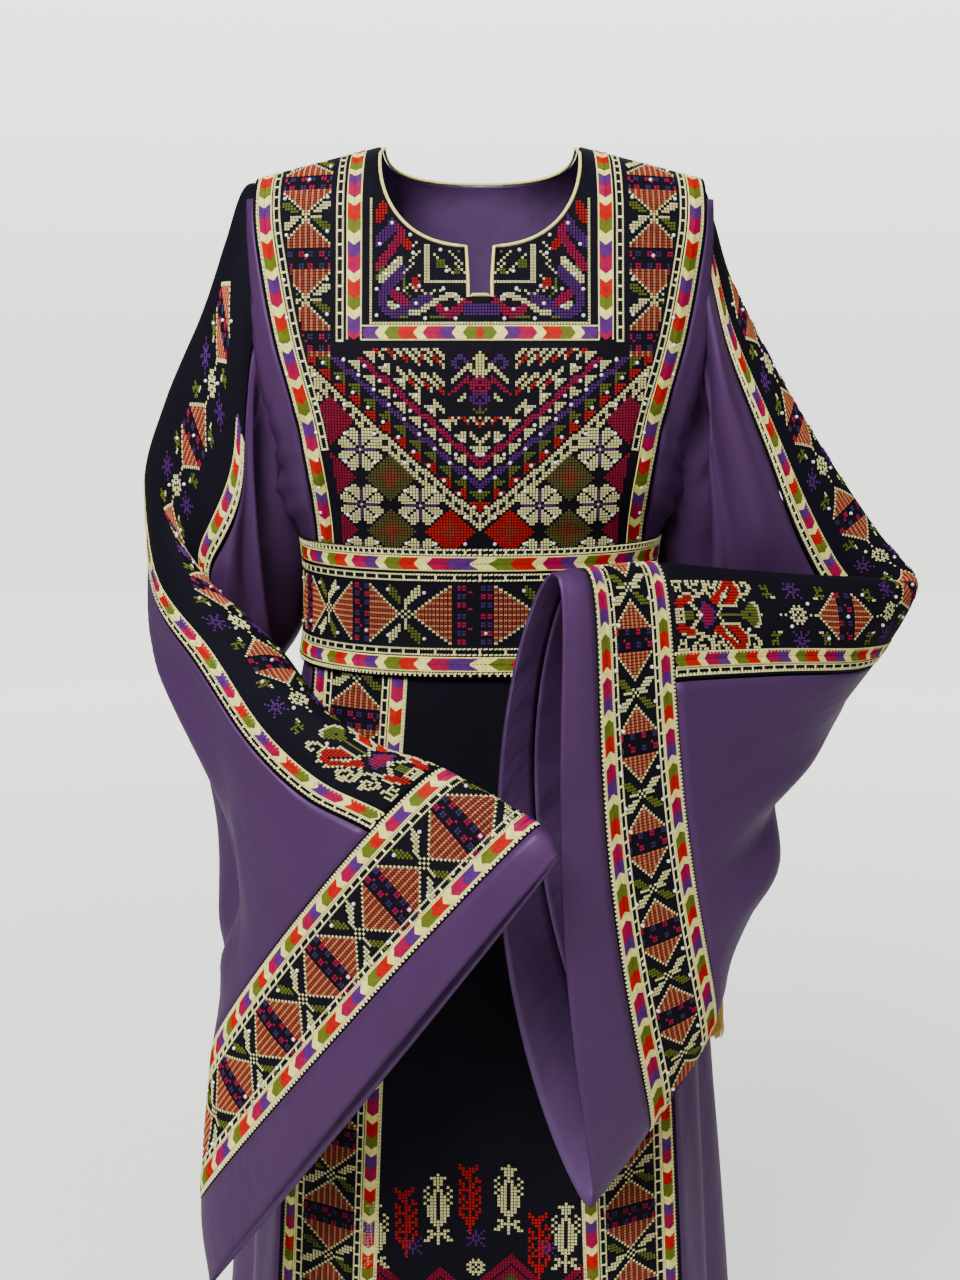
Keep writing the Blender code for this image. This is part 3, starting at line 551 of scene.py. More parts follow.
class Field:
    """A cloth surface as rows and columns of points, on which a place is a distance down and one across.

    On a ring the last column repeats the first, and across counts once round from the first column.
    """

    def __init__(self, points, inside, ring=False):
        self.points = np.asarray(points, dtype=float)
        self.ring = ring
        self.settle(np.asarray(inside, dtype=float))

    def settle(self, inside):
        """Works out normals, which point away from inside, and distances."""
        p = self.points
        if self.ring:
            wide = np.concatenate((p[:, -2:-1], p, p[:, 1:2]), axis=1)
            along_row = (wide[:, 2:] - wide[:, :-2])
        else:
            along_row = np.gradient(p, axis=1)
        normals = np.cross(along_row, np.gradient(p, axis=0))
        normals /= np.linalg.norm(normals, axis=2, keepdims=True)
        i, j = p.shape[0] // 2, p.shape[1] // 2
        if normals[i, j].dot(p[i, j] - inside) < 0:
            normals = -normals
        self.normals = normals
        self.inside = inside
        steps = np.linalg.norm(np.diff(p, axis=0), axis=2).mean(axis=1)
        self.down = np.concatenate(([0], np.cumsum(steps)))
        self.width = np.linalg.norm(np.diff(p, axis=1), axis=2).sum(axis=1).mean()

    def push(self, heights):
        """Moves each point out along its normal."""
        self.points = self.points + self.normals * np.asarray(heights)[..., None]
        if self.ring:
            self.points[:, -1] = self.points[:, 0]
        self.settle(self.inside)

    def squared(self):
        """The same ring with the lines down it turned square to its edges, eased where the cloth folds."""
        p, half = self.points, self.points.shape[0] // 2
        along = np.roll(p[half, :-1], -1, axis=0) - np.roll(p[half, :-1], 1, axis=0)
        along /= np.linalg.norm(along, axis=1, keepdims=True)
        reach = self.down[half + 2] - self.down[half - 2]
        slip = ((p[half + 2, :-1] - p[half - 2, :-1]) * along).sum(axis=1) / reach
        count = len(slip)
        ease = np.bartlett(2 * (count // 12) + 1)
        slip = 1.35 * np.convolve(np.tile(slip, 3), ease / ease.sum(), "same")[count : 2 * count + 1]
        across = np.linspace(0, self.width, count + 1)
        rows = []
        for down in self.down:
            shifted = across - slip * (down - self.down[half])
            rows.append(self.place(np.full(count + 1, down), shifted)[0])
        return Field(rows, self.inside, ring=True)

    def look_up(self, table, down, across):
        rows, columns = self.points.shape[:2]
        i = np.interp(down, self.down, np.arange(rows))
        if self.ring:
            j = (across / self.width * (columns - 1)) % (columns - 1)
        else:
            j = np.clip((across / self.width + 0.5) * (columns - 1), 0, columns - 1)
        i0 = np.minimum(i.astype(int), rows - 2)
        j0 = np.minimum(j.astype(int), columns - 2)
        a, b = (i - i0)[:, None], (j - j0)[:, None]
        return (
            table[i0, j0] * (1 - a) * (1 - b)
            + table[i0, j0 + 1] * (1 - a) * b
            + table[i0 + 1, j0] * a * (1 - b)
            + table[i0 + 1, j0 + 1] * a * b
        )

    def place(self, down, across, lift=0.0):
        """Points on the cloth, lifted off it."""
        normals = self.look_up(self.normals, down, across)
        normals /= np.linalg.norm(normals, axis=1, keepdims=True)
        return self.look_up(self.points, down, across) + normals * np.reshape(lift, (-1, 1)), normals


# Cloths by their materials: outside, and inside if that differs. The satin's inside colour is lighter than
# its outside: the reverse face with painted light, which brightens the shaded insides
NAVY = ("navy_crepe_cloth",)
NAVY_LINED = ("navy_crepe_cloth", "violet_satin_reverse")
SATIN = ("purple_satin_cloth", "violet_satin_reverse")


def set_down(name, data):
    """A new object in the scene."""
    thing = bpy.data.objects.new(name, data)
    bpy.context.scene.collection.objects.link(thing)
    return thing


def skin(solid, upper, lower):
    """Faces between two rings of points."""
    for k in range(len(upper)):
        n = (k + 1) % len(upper)
        solid.faces.new((upper[k], upper[n], lower[n], lower[k]))


def mesh_from(solid, name):
    """The mesh of a solid, its faces turned outwards."""
    bmesh.ops.recalc_face_normals(solid, faces=solid.faces)
    data = bpy.data.meshes.new(name)
    solid.to_mesh(data)
    solid.free()
    return data


def smooth_piece(solid, name, material):
    """A smooth piece of one material from a solid."""
    data = mesh_from(solid, name)
    data.materials.append(material)
    data.shade_smooth()
    return set_down(name, data)


def evaluated_mesh(thing, all_layers):
    """The mesh that a thing's modifiers make. They are then taken off it."""
    graph = bpy.context.evaluated_depsgraph_get()
    graph.update()
    source = thing.evaluated_get(graph)
    result = bpy.data.meshes.new_from_object(source, preserve_all_data_layers=all_layers, depsgraph=graph)
    thing.modifiers.clear()
    return result


def cloth(name, points, normals, materials, thickness=WALL, ring=False):
    """A closed cloth wall between a grid of points and the same points moved in, with a UV map in metres."""
    rows, columns = points.shape[:2]
    if ring:
        columns -= 1
    outer = points[:, :columns].reshape(-1, 3)
    inner = (points - normals * thickness)[:, :columns].reshape(-1, 3)
    count = rows * columns
    faces, slots, corners = [], [], []
    width = np.linalg.norm(np.diff(points, axis=1), axis=2).sum(axis=1).mean()
    length = np.linalg.norm(np.diff(points, axis=0), axis=2).sum(axis=0).mean()
    last = columns if ring else columns - 1

    def flat(i, j):
        return (width * j / last, -length * i / (rows - 1))

    def face(quad, uv, slot=0):
        faces.append(quad)
        slots.append(slot)
        corners.extend(uv)

    for i in range(rows - 1):
        for j in range(last):
            k = (j + 1) % columns
            a, b, c, d = i * columns + j, i * columns + k, (i + 1) * columns + k, (i + 1) * columns + j
            uv = (flat(i, j), flat(i, j + 1), flat(i + 1, j + 1), flat(i + 1, j))
            face((a, b, c, d), uv)
            face((d + count, c + count, b + count, a + count), uv[::-1], len(materials) - 1)
    for i in (0, rows - 1):
        for j in range(last):
            a, b = i * columns + j, i * columns + (j + 1) % columns
            quad = (a, a + count, b + count, b) if i == 0 else (a, b, b + count, a + count)
            face(quad, (flat(i, j), flat(i, j), flat(i, j + 1), flat(i, j + 1)))
    if not ring:
        for j in (0, columns - 1):
            for i in range(rows - 1):
                a, b = i * columns + j, (i + 1) * columns + j
                quad = (a, b, b + count, a + count) if j == 0 else (a, a + count, b + count, b)
                face(quad, (flat(i, j), flat(i + 1, j), flat(i + 1, j), flat(i, j)))
    mesh = bpy.data.meshes.new(name)
    mesh.from_pydata(np.concatenate((outer, inner)).tolist(), [], faces)
    mesh.uv_layers.new(name="UVMap")
    mesh.uv_layers["UVMap"].data.foreach_set("uv", np.asarray(corners, dtype=float).ravel())
    for material in materials:
        mesh.materials.append(bpy.data.materials[material])
    mesh.polygons.foreach_set("material_index", slots)
    turned = bmesh.new()
    turned.from_mesh(mesh)
    bmesh.ops.recalc_face_normals(turned, faces=turned.faces)
    turned.to_mesh(mesh)
    turned.free()
    mesh.shade_smooth()
    return set_down(name, mesh)


def put_away(piece, nodes, slot_name):
    """The piece stands for nodes, if any are named, and rides on the dress."""
    if nodes:
        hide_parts(*nodes)
    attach(piece, "root")
    return piece


# Threads: letter in the charts, name, colour
THREADS = (
    ("C", "cream", (0.850, 0.700, 0.310)),
    ("R", "scarlet", (0.400, 0.004, 0.002)),
    ("M", "magenta", (0.290, 0.001, 0.046)),
    ("V", "violet", (0.075, 0.014, 0.135)),
    ("G", "green", (0.105, 0.130, 0.010)),
    ("S", "salmon", (0.540, 0.190, 0.080)),
    ("B", "russet", (0.250, 0.030, 0.010)),
    ("K", "crimson", (0.230, 0.002, 0.026)),
    ("O", "olive", (0.085, 0.075, 0.014)),
    ("I", "indigo", (0.034, 0.017, 0.090)),
    ("Y", "corn", (0.900, 0.700, 0.200)),
)
LETTERS = {letter: index for index, (letter, _, _) in enumerate(THREADS)}


class Chart:
    """A cross-stitch chart: rows down, columns across, one thread number to a cell and -1 for bare cloth."""

    def __init__(self, rows, columns):
        self.cells = np.full((rows, columns), -1, dtype=int)

    def put(self, row, column, art, flip=False):
        """Stamps rows of letters, with their first letter at a cell. A dot leaves the cell as it is."""
        for i, line in enumerate(art):
            line = line[::-1] if flip else line
            for j, letter in enumerate(line):
                self.set(row + i, column + j, letter)

    def set(self, row, column, letter):
        if letter in LETTERS and 0 <= row < self.cells.shape[0] and 0 <= column < self.cells.shape[1]:
            self.cells[row, column] = LETTERS[letter]

    def centred(self, row, column, art, flip=False):
        self.put(row - len(art) // 2, column - len(art[0]) // 2, art, flip)

    def stroke(self, places, letter, width):
        """A band of cells through places (row, column). A small letter leaves out every second cell."""
        for (row, column), (next_row, next_column) in zip(places, places[1:]):
            steps = int(max(abs(next_row - row), abs(next_column - column)) * 2) + 1
            for k in range(steps + 1):
                r = int(round(row + (next_row - row) * k / steps))
                c = int(round(column + (next_column - column) * k / steps))
                for i in range(-(width // 2), width - width // 2):
                    if letter.isupper() or (r + i + c) % 2:
                        self.set(r + i, c, letter.upper())
                        if width > 2:
                            self.set(r + i, c + 1, letter.upper())


def whole_chart(half, both=False):
    """A chart's rows from its left half with the middle column, or from the upper left quarter if both."""
    rows = [line + line[-2::-1] for line in half.split()]
    return rows + rows[-2::-1] if both else rows


LEAF = """
...GGGG
..GGGG.
.GGGG..
GGG....
""".split()
PALE_LEAF = tuple(line.replace("G", "C") for line in LEAF)
NODE = ("....C.C....", "CCCC.C.CCCC", "....C.C....")
RING = whole_chart("""
..C.
.CCC
CC.C
.CC.
""", both=True)
SPRIG = """
GG.G.
.G.GG
GGGG.
...GC
....C
""".split()
THISTLE = whole_chart("""
V..V
.V.V
..VV
VVV.
""", both=True)
STAR = whole_chart("""
....CC..
...CCCC.
...CCCCV
.CC.CCCV
CCCC.CCV
CCCCC.CV
.CCCCC.V
..VVVVVC
""", both=True)
# Half of a flower spray that lies along a sleeve: rows go out from its middle line, columns along it
SPRAY = """
CCCCGGGG.YYVMMMMV.CGGGGGGGGGGGGG.GGGCC
CC.CGGGG..YVMMMMMV.C.........GGGGGGGC.
CCCC....CC.VMMMMV...C..........GGGGGC.
.RRR...CC...VMMV...CCCCCCCCC....GGGCC.
RRRRRRCC....VV...RRRC.RRRRRC.....GCC..
.RRRRRRRC.......RRRRRC.RRRRRC..C......
..CCRRRRCCCC....CRRRRCC.RRRRRCC.......
....CCCC..CCCC.CC.CRRRCC.RRRRRCCCC....
.C.C.....CC..CCC...CRRRRC.RRRRC..CC...
.CCC...CC.....CC.CCC.CRRRC.RRRC...CC..
C..C..CC.CCC..CCCC.CC.CRRRRRRCC.C.CC..
CCCCC.CC.C.CC.CC.C..CC.CRRRRRC..CCC...
C...C..CC.CC..CC.CC.CC..CC.CC.........
CCC.....CCCC...CCCCCC....C..C.........
..........CC.....CCC..................
""".split()
RED_TREE = """
R....R.
RR.RRR.
.RRRR..
.RRR...
..RR.R.
R..R.RR
RR.RR..
.R.RR.R
RRRR.RR
R..RRR.
.R.RR.R
RR.RRRR
R.RRR.R
.R.RRR.
RRRRR.R
R..R.RR
RR.R.R.
.RRRRR.
..RRR..
..RRR..
...R...
...R...
...R...
""".split()
CREAM_TREE = whole_chart("""
....C
..CCC
...CC
...CC
.C..C
C..CC
.C.C.
C.CC.
.CCC.
C.CC.
.CCC.
.CCC.
.CCC.
.CCC.
..CC.
..CCC
...CC
....C
.CC.C
..CCC
.CC.C
CC..C
....C
""")
BREAST_TREE = whole_chart("""
..........Y
...VV....YY
..VVVV..YYC
.VV..VV..YC
.VV...CC.YC
..VV.CCC.YC
....CC.CCYC
...CC...CCC
..CC..M..CM
.CC..MM.MMM
.C..MMMMMM.
...MM..MMMM
..MM...MM.M
.MM.....MMM
M....C..VVV
....CC.VVV.
...CC..VV.V
........VVV
..........V
........G.G
.........GG
""")
# Bands inside the chest's frame, mirrored: thread, width, places (cells up from the frame, cells out)
FRAME_BANDS = (
    ("C", 1, ((0, 36), (42, 36))),
    ("C", 1, ((0, 36), (0, 0))),
    ("R", 4, ((35, 34), (39, 32))),
    ("V", 4, ((27, 34), (30, 31), (35, 27))),
    ("M", 3, ((19, 34), (23, 31), (30, 26), (33, 27))),
    ("G", 2, ((15, 34), (18, 32))),
    ("C", 3, ((15, 33), (21, 27))),
    ("V", 4, ((17, 26), (13, 30), (9, 33), (5, 32), (3, 29), (4, 25), (7, 20), (8, 17))),
    ("M", 3, ((10, 29), (7, 25))),
    ("C", 2, ((6, 30), (5, 28))),
    ("G", 1, ((15, 25), (11, 25), (9, 23))),
    ("C", 2, ((29, 18), (14, 18))),
    ("C", 2, ((29, 17), (14, 17))),
    ("c", 2, ((29, 19), (24, 23))),
    ("c", 2, ((23, 20), (17, 25))),
    ("c", 2, ((16, 20), (11, 25))),
    ("R", 3, ((26, 24), (27, 25))),
    ("R", 3, ((13, 21), (14, 22))),
    ("c", 2, ((29, 15), (23, 10), (16, 4))),
    ("c", 2, ((22, 15), (16, 9))),
    ("C", 1, ((14, 16), (14, 4))),
    ("G", 3, ((20, 14), (20, 13))),
    ("G", 2, ((17, 8), (17, 7))),
    ("G", 2, ((26, 9), (24, 7))),
    ("C", 2, ((3, 23), (3, 20), (8, 13), (9, 9), (6, 5))),
    ("c", 1, ((12, 22), (10, 17), (12, 12))),
    ("M", 3, ((5, 14), (3, 11), (4, 8), (8, 4))),
    ("V", 4, ((4, 5), (4, 0))),
    ("C", 2, ((8, 1), (8, 0))),
    ("G", 1, ((2, 26), (2, 24))),
    ("G", 1, ((2, 16), (2, 12))),
)


def half_diamond(chart, tip_row, middle, size, direction):
    """A stepped half diamond with stripes from base to tip: its tip, and rows that widen away from it."""
    for k in range(size + 1):
        for j in range(-k, k + 1):
            letter = "C" if abs(j) == k else "SB"[j % 2]
            chart.set(tip_row + direction * k, middle + j, letter)


BLOCK_ROWS = 7


def diamond(chart, row, middle, size):
    """Two half diamonds, tips away from each other, with two lines of little flowers between them."""
    low_tip = row + 2 * size + BLOCK_ROWS + 1
    half_diamond(chart, row, middle, size, 1)
    half_diamond(chart, low_tip, middle, size, -1)
    count = (2 * size + 1) // 3 - 1 + (size > 8)
    for line in (0, 1):
        for n in range(count):
            column = middle - size + int(round(n * (2 * size - 1) / (count - 1)))
            letter = "MI"[(n + line) % 2]
            chart.put(row + size + 2 + 3 * line + line, column, (letter * 2, letter * 2))
            if letter == "M" and n + 1 < count and not line:
                chart.set(row + size + 4, column + 2, "M")
    return low_tip


def diamond_column(chart, middle, first_row, size, repeat):
    """Diamonds down a chart with leaves round the place where their tips meet."""
    for row in range(first_row, chart.cells.shape[0] + repeat, repeat):
        low_tip = diamond(chart, row, middle, size)
        tips = (low_tip + row + repeat) // 2
        chart.centred(tips, middle, NODE)
        for side in (-1, 1):
            for way in (-1, 1):
                art = LEAF if side == way else PALE_LEAF
                art = art if way < 0 else art[::-1]
                chart.centred(tips + way * 3, middle + side * (size - 3), art, side < 0)


def even_steps(path, spacing):
    """Even steps along a path of (down, across) places: points, direction, direction aside and distance."""
    path = np.asarray(path, dtype=float)
    lengths = np.concatenate(([0], np.cumsum(np.linalg.norm(np.diff(path, axis=0), axis=1))))
    count = max(2, int(round(lengths[-1] / spacing)) + 1)
    steps = np.linspace(0, lengths[-1], count)
    points = np.stack([np.interp(steps, lengths, path[:, k]) for k in (0, 1)], axis=1)
    ways = np.gradient(points, axis=0)
    ways /= np.linalg.norm(ways, axis=1, keepdims=True)
    return points, ways, np.stack((-ways[:, 1], ways[:, 0]), axis=1), steps


class Needlework:
    """Bars of thread and beads, gathered for one piece of cloth, where keep says that they may lie."""

    def __init__(self, keep=None):
        self.rows = []
        self.beads = []
        self.keep = keep or (lambda down, across: np.ones(len(down), dtype=bool))

    def bars(self, field, start, end, width, height, lift, thread):
        """Bars of thread between places of the cloth."""
        start, end = np.atleast_2d(start), np.atleast_2d(end)
        middle = (start + end) / 2
        kept = self.keep(middle[:, 0], middle[:, 1])
        thread = np.broadcast_to(np.asarray(thread), (len(middle),))[kept]
        start, end, middle = start[kept], end[kept], middle[kept]
        if not len(middle):
            return
        along = field.place(end[:, 0], end[:, 1])[0] - field.place(start[:, 0], start[:, 1])[0]
        seat, out = field.place(middle[:, 0], middle[:, 1], lift)
        length = np.linalg.norm(along, axis=1)
        kept = length > 1e-6
        size = np.stack((length, np.full(len(length), width), np.full(len(length), height)), axis=1)
        self.rows.append((seat[kept], along[kept] / length[kept, None], out[kept], size[kept], thread[kept]))

    def crosses(self, field, cells, down, across, pitch_down, pitch_across=None):
        """Two crossing bars in every worked cell. Down and across are the first cell's corner."""
        pitch_across = pitch_across or pitch_down
        i, j = np.nonzero(cells >= 0)
        middle = np.stack((down + (i + 0.5) * pitch_down, across + (j + 0.5) * pitch_across), axis=1)
        reach = np.array((pitch_down, pitch_across)) * 0.33
        width = 0.31 * (pitch_down + pitch_across) / 2
        for turn, lift in ((1, 0.00002), (-1, 0.00022)):
            offset = reach * np.array((1, turn))
            self.bars(field, middle - offset, middle + offset, width, THREAD_HEIGHT, lift, cells[i, j])

    def cord(self, field, path, letter, width, offset):
        """A couched cord along a path, offset to its side."""
        points, _, aside, _ = even_steps(path, 0.005)
        points = points + aside * offset
        overlap = (points[1:] - points[:-1]) * 0.06
        ends = (points[:-1] - overlap, points[1:] + overlap)
        self.bars(field, *ends, width, width * 0.55, 0.0, LETTERS[letter])

    def beading(self, field, path, offset=0.0):
        """A twisted cord along a path, stitch by stitch."""
        points, ways, aside, _ = even_steps(path, BEADING_PITCH)
        reach = ways * 0.00075 + aside * 0.00035
        points = points + aside * offset
        self.bars(field, points - reach, points + reach, 0.0014, BORDER_HEIGHT, 0.0, LETTERS["C"])

    def chevrons(self, field, path, half_width=0.0052, start=0.0):
        """Satin-stitch arrows along a path, in blocks of colour, with a plain cord on each side."""
        points, ways, aside, steps = even_steps(path, SATIN_PITCH)
        total = sum(length for _, length in CHEVRON_BLOCKS)
        ends = np.cumsum([length for _, length in CHEVRON_BLOCKS])
        letters = np.array([LETTERS[letter] for letter, _ in CHEVRON_BLOCKS])
        thread = letters[np.searchsorted(ends, (steps + start) % total, side="right") % len(letters)]
        for side in (-1, 1):
            outer = points + aside * half_width * side - ways * half_width * 0.8
            self.bars(field, outer, points, SATIN_PITCH * 1.2, BORDER_HEIGHT, 0.0, thread)
            self.cord(field, path, "Y", 0.0013, side * (half_width + 0.0006))

    def ladder(self, field, path, rung_pitch=0.0113, half_width=0.0025):
        """A ladder border: two twisted cords with short rungs between them."""
        for side in (-1, 1):
            self.beading(field, path, side * half_width)
        points, _, aside, _ = even_steps(path, rung_pitch)
        reach = aside * half_width * 0.8
        self.bars(field, points - reach, points + reach, 0.0018, BORDER_HEIGHT, 0.0, LETTERS["C"])

    def picot(self, field, path, side):
        """Small points along an edge, on one side of it."""
        points, _, aside, _ = even_steps(path, PICOT_PITCH)
        self.bars(field, points, points + aside * side * 0.0024, 0.0020, 0.0011, 0.0, LETTERS["C"])

    def bead(self, field, down, across):
        """Beads at places of the cloth."""
        down, across = np.atleast_1d(down).astype(float), np.atleast_1d(across).astype(float)
        kept = self.keep(down, across)
        if kept.any():
            self.beads.append(field.place(down[kept], across[kept], BEAD_RADIUS * 0.5)[0])


def feed(target, values):
    """Gives a node's inputs their values."""
    for key, value in values.items():
        target.inputs[key].default_value = value


def node(tree, kind, inputs=None, **settings):
    """A new node with its settings and the values of its inputs."""
    made = tree.nodes.new(kind)
    for key, value in settings.items():
        setattr(made, key, value)
    feed(made, inputs or {})
    return made


def sockets(tree, way, kind, *names):
    """New sockets on the outside of a node group."""
    return [tree.interface.new_socket(name, in_out=way, socket_type=f"NodeSocket{kind}") for name in names]


def link(tree, *links):
    """Joins nodes. Each link is a node, its output, the next node and its input."""
    for source, output, target, entry in links:
        tree.links.new(source.outputs[output], target.inputs[entry])


def thread_tree():
    """Geometry Nodes: lays a ridge-shaped bar of thread on every point and gives it its thread's material."""
    tree = bpy.data.node_groups.new("lay_threads", "GeometryNodeTree")
    sockets(tree, "INPUT", "Geometry", "Points")
    for socket in sockets(tree, "INPUT", "Float", "Width", "Height"):
        socket.default_value, socket.min_value, socket.max_value = 1.0, 0.2, 3.0
    sockets(tree, "OUTPUT", "Geometry", "Threads")

    def read(name, kind="FLOAT_VECTOR"):
        return node(tree, "GeometryNodeInputNamedAttribute", {"Name": name}, data_type=kind)

    entry, leave = node(tree, "NodeGroupInput"), node(tree, "NodeGroupOutput")
    bar = node(tree, "GeometryNodeMeshGrid", {"Vertices X": 2, "Vertices Y": 3})
    split, ridge = node(tree, "ShaderNodeSeparateXYZ"), node(tree, "ShaderNodeCombineXYZ")
    where, lift = node(tree, "GeometryNodeInputPosition"), node(tree, "GeometryNodeSetPosition")
    across = node(tree, "ShaderNodeMath", operation="ABSOLUTE")
    drop = node(tree, "ShaderNodeMath", {1: -2.0, 2: 1.0}, operation="MULTIPLY_ADD")
    spots = node(tree, "GeometryNodeInstanceOnPoints")
    axes = node(tree, "FunctionNodeAxesToRotation", primary_axis="Z", secondary_axis="X")
    sizes, size = node(tree, "ShaderNodeSeparateXYZ"), node(tree, "ShaderNodeCombineXYZ")
    wide, high = (node(tree, "ShaderNodeMath", operation="MULTIPLY") for _ in range(2))
    real, last = node(tree, "GeometryNodeRealizeInstances"), node(tree, "GeometryNodeSetShadeSmooth")
    link(
        tree,
        (where, 0, split, 0),
        (split, "Y", across, 0),
        (across, 0, drop, 0),
        (drop, 0, ridge, "Z"),
        (bar, "Mesh", lift, "Geometry"),
        (ridge, 0, lift, "Offset"),
        (read("out"), "Attribute", axes, 0),
        (read("along"), "Attribute", axes, 1),
        (read("size"), "Attribute", sizes, 0),
        (sizes, "X", size, "X"),
        (sizes, "Y", wide, 0),
        (entry, "Width", wide, 1),
        (wide, 0, size, "Y"),
        (sizes, "Z", high, 0),
        (entry, "Height", high, 1),
        (high, 0, size, "Z"),
        (entry, "Points", spots, "Points"),
        (lift, 0, spots, "Instance"),
        (axes, 0, spots, "Rotation"),
        (size, 0, spots, "Scale"),
        (spots, 0, real, 0),
        (real, 0, last, 0),
    )
    kind = read("thread", "INT")
    for index, (_, name, _) in enumerate(THREADS):
        same = node(tree, "FunctionNodeCompare", {3: index}, data_type="INT", operation="EQUAL")
        paint = node(tree, "GeometryNodeSetMaterial", {"Material": bpy.data.materials[f"{name}_thread"]})
        link(tree, (kind, "Attribute", same, 2), (same, 0, paint, "Selection"), (last, 0, paint, "Geometry"))
        last = paint
    link(tree, (last, 0, leave, 0))
    return tree


def bead_tree():
    """Geometry Nodes: a small ball-shaped bead on every point."""
    tree = bpy.data.node_groups.new("sew_beads", "GeometryNodeTree")
    sockets(tree, "INPUT", "Geometry", "Points")
    (radius,) = sockets(tree, "INPUT", "Float", "Radius")
    radius.default_value, radius.subtype = BEAD_RADIUS, "DISTANCE"
    sockets(tree, "OUTPUT", "Geometry", "Beads")
    entry, leave = node(tree, "NodeGroupInput"), node(tree, "NodeGroupOutput")
    ball = node(tree, "GeometryNodeMeshIcoSphere", {"Subdivisions": 2})
    spots, real = node(tree, "GeometryNodeInstanceOnPoints"), node(tree, "GeometryNodeRealizeInstances")
    paint = node(tree, "GeometryNodeSetMaterial", {"Material": bpy.data.materials["crystal"]})
    link(
        tree,
        (entry, "Radius", ball, "Radius"),
        (entry, "Points", spots, "Points"),
        (ball, "Mesh", spots, "Instance"),
        (spots, 0, real, 0),
        (real, 0, paint, "Geometry"),
        (paint, 0, leave, 0),
    )
    return tree


def grown(name, points, attributes, tree, values):
    """The plain mesh that a tree grows on points."""
    mesh = bpy.data.meshes.new(name + "_points")
    mesh.from_pydata(np.asarray(points).tolist(), [], [])
    for key, data in attributes.items():
        single = data.ndim == 1
        layer = mesh.attributes.new(key, "INT" if single else "FLOAT_VECTOR", "POINT")
        layer.data.foreach_set("value" if single else "vector", np.ascontiguousarray(data).ravel())
    seed = set_down(name + "_points", mesh)
    modifier = seed.modifiers.new("grow", "NODES")
    modifier.node_group = tree
    inputs = {item.name: item.identifier for item in tree.interface.items_tree if item.in_out == "INPUT"}
    for key, value in values.items():
        modifier[inputs[key]] = value
    result = evaluated_mesh(seed, False)
    result.name = name
    bpy.data.objects.remove(seed)
    return set_down(name, result)


def sew(name, work, slot_name):
    """The embroidery of one piece of cloth: its threads, and its beads if it has any."""
    seat, along, out, size, thread = (np.concatenate(part) for part in zip(*work.rows))
    settings = bpy.context.scene.thobe_sizes
    tree = bpy.data.node_groups.get("lay_threads") or thread_tree()
    values = {"Width": settings.thread_width, "Height": settings.thread_relief}
    attributes = {"along": along, "out": out, "size": size, "thread": thread.astype(int)}
    threads = grown(f"{name}_embroidery", seat, attributes, tree, values)
    made = [put_away(threads, None, slot_name)]
    if work.beads:
        tree = bpy.data.node_groups.get("sew_beads") or bead_tree()
        values = {"Radius": settings.crystal_radius}
        beads = grown(f"{name}_crystals", np.concatenate(work.beads), {}, tree, values)
        made.append(put_away(beads, None, slot_name))
    return made


THREAD_HEIGHT = 0.0007
BORDER_HEIGHT = 0.0010  # of the satin stitches and cords in the borders
SATIN_PITCH = 0.0015
BEAD_RADIUS = 0.0016
BEADING_PITCH = 0.0021
PICOT_PITCH = 0.0036
CHEVRON_BLOCKS = (("V", 0.011), ("M", 0.013), ("Y", 0.008), ("R", 0.013), ("G", 0.011), ("Y", 0.008))


def relief_group(name, values):
    """A new shader group that gives a height and a shade, with its own entry and exit."""
    group = bpy.data.node_groups.new(name, "ShaderNodeTree")
    for key, value in values.items():
        sockets(group, "INPUT", "Float", key)[0].default_value = value
    sockets(group, "OUTPUT", "Float", "Height", "Shade")
    return group, node(group, "NodeGroupInput"), node(group, "NodeGroupOutput")


def shade_by(group, noise, entry, leave):
    """The group's shade: a noise drawn out by the group's unevenness."""
    span = node(group, "ShaderNodeMath", {1: 0.5}, operation="SUBTRACT")
    shade = node(group, "ShaderNodeMath", {2: 0.5}, operation="MULTIPLY_ADD")
    link(
        group,
        (noise, 0, span, 0),
        (span, 0, shade, 0),
        (entry, "Unevenness", shade, 1),
        (shade, 0, leave, "Shade"),
    )


def weave_group():
    """Shader group: a woven surface's small relief and uneven colour, from the cloth's own UV map."""
    values = {"Threads per Metre": 900.0, "Unevenness": 0.2, "Slub": 0.3, "Crumple": 5.0}
    group, entry, leave = relief_group("weave", values)
    uv = node(group, "ShaderNodeUVMap", uv_map="UVMap")
    scaled = node(group, "ShaderNodeVectorMath", operation="SCALE")
    fine, streak = (node(group, "ShaderNodeTexNoise", {"Scale": 1.0, "Detail": 2.0}) for _ in range(2))
    cloudy = node(group, "ShaderNodeTexNoise", {"Scale": 9.0, "Detail": 3.0})
    drape = node(group, "ShaderNodeMapping", {"Scale": (2.2, 0.8, 1.0)})
    stretch = node(group, "ShaderNodeMapping", {"Scale": (700.0, 40.0, 1.0)})
    kinds = ("MULTIPLY", "ADD", "MULTIPLY_ADD")
    slub, height, relief = (node(group, "ShaderNodeMath", operation=kind) for kind in kinds)
    link(
        group,
        (uv, 0, scaled, 0),
        (entry, "Threads per Metre", scaled, "Scale"),
        (scaled, 0, fine, "Vector"),
        (uv, 0, drape, "Vector"),
        (drape, 0, cloudy, "Vector"),
        (uv, 0, stretch, "Vector"),
        (stretch, 0, streak, "Vector"),
        (streak, 0, slub, 0),
        (entry, "Slub", slub, 1),
        (slub, 0, height, 0),
        (fine, 0, height, 1),
        (cloudy, 0, relief, 0),
        (entry, "Crumple", relief, 1),
        (height, 0, relief, 2),
        (relief, 0, leave, "Height"),
    )
    shade_by(group, cloudy, entry, leave)


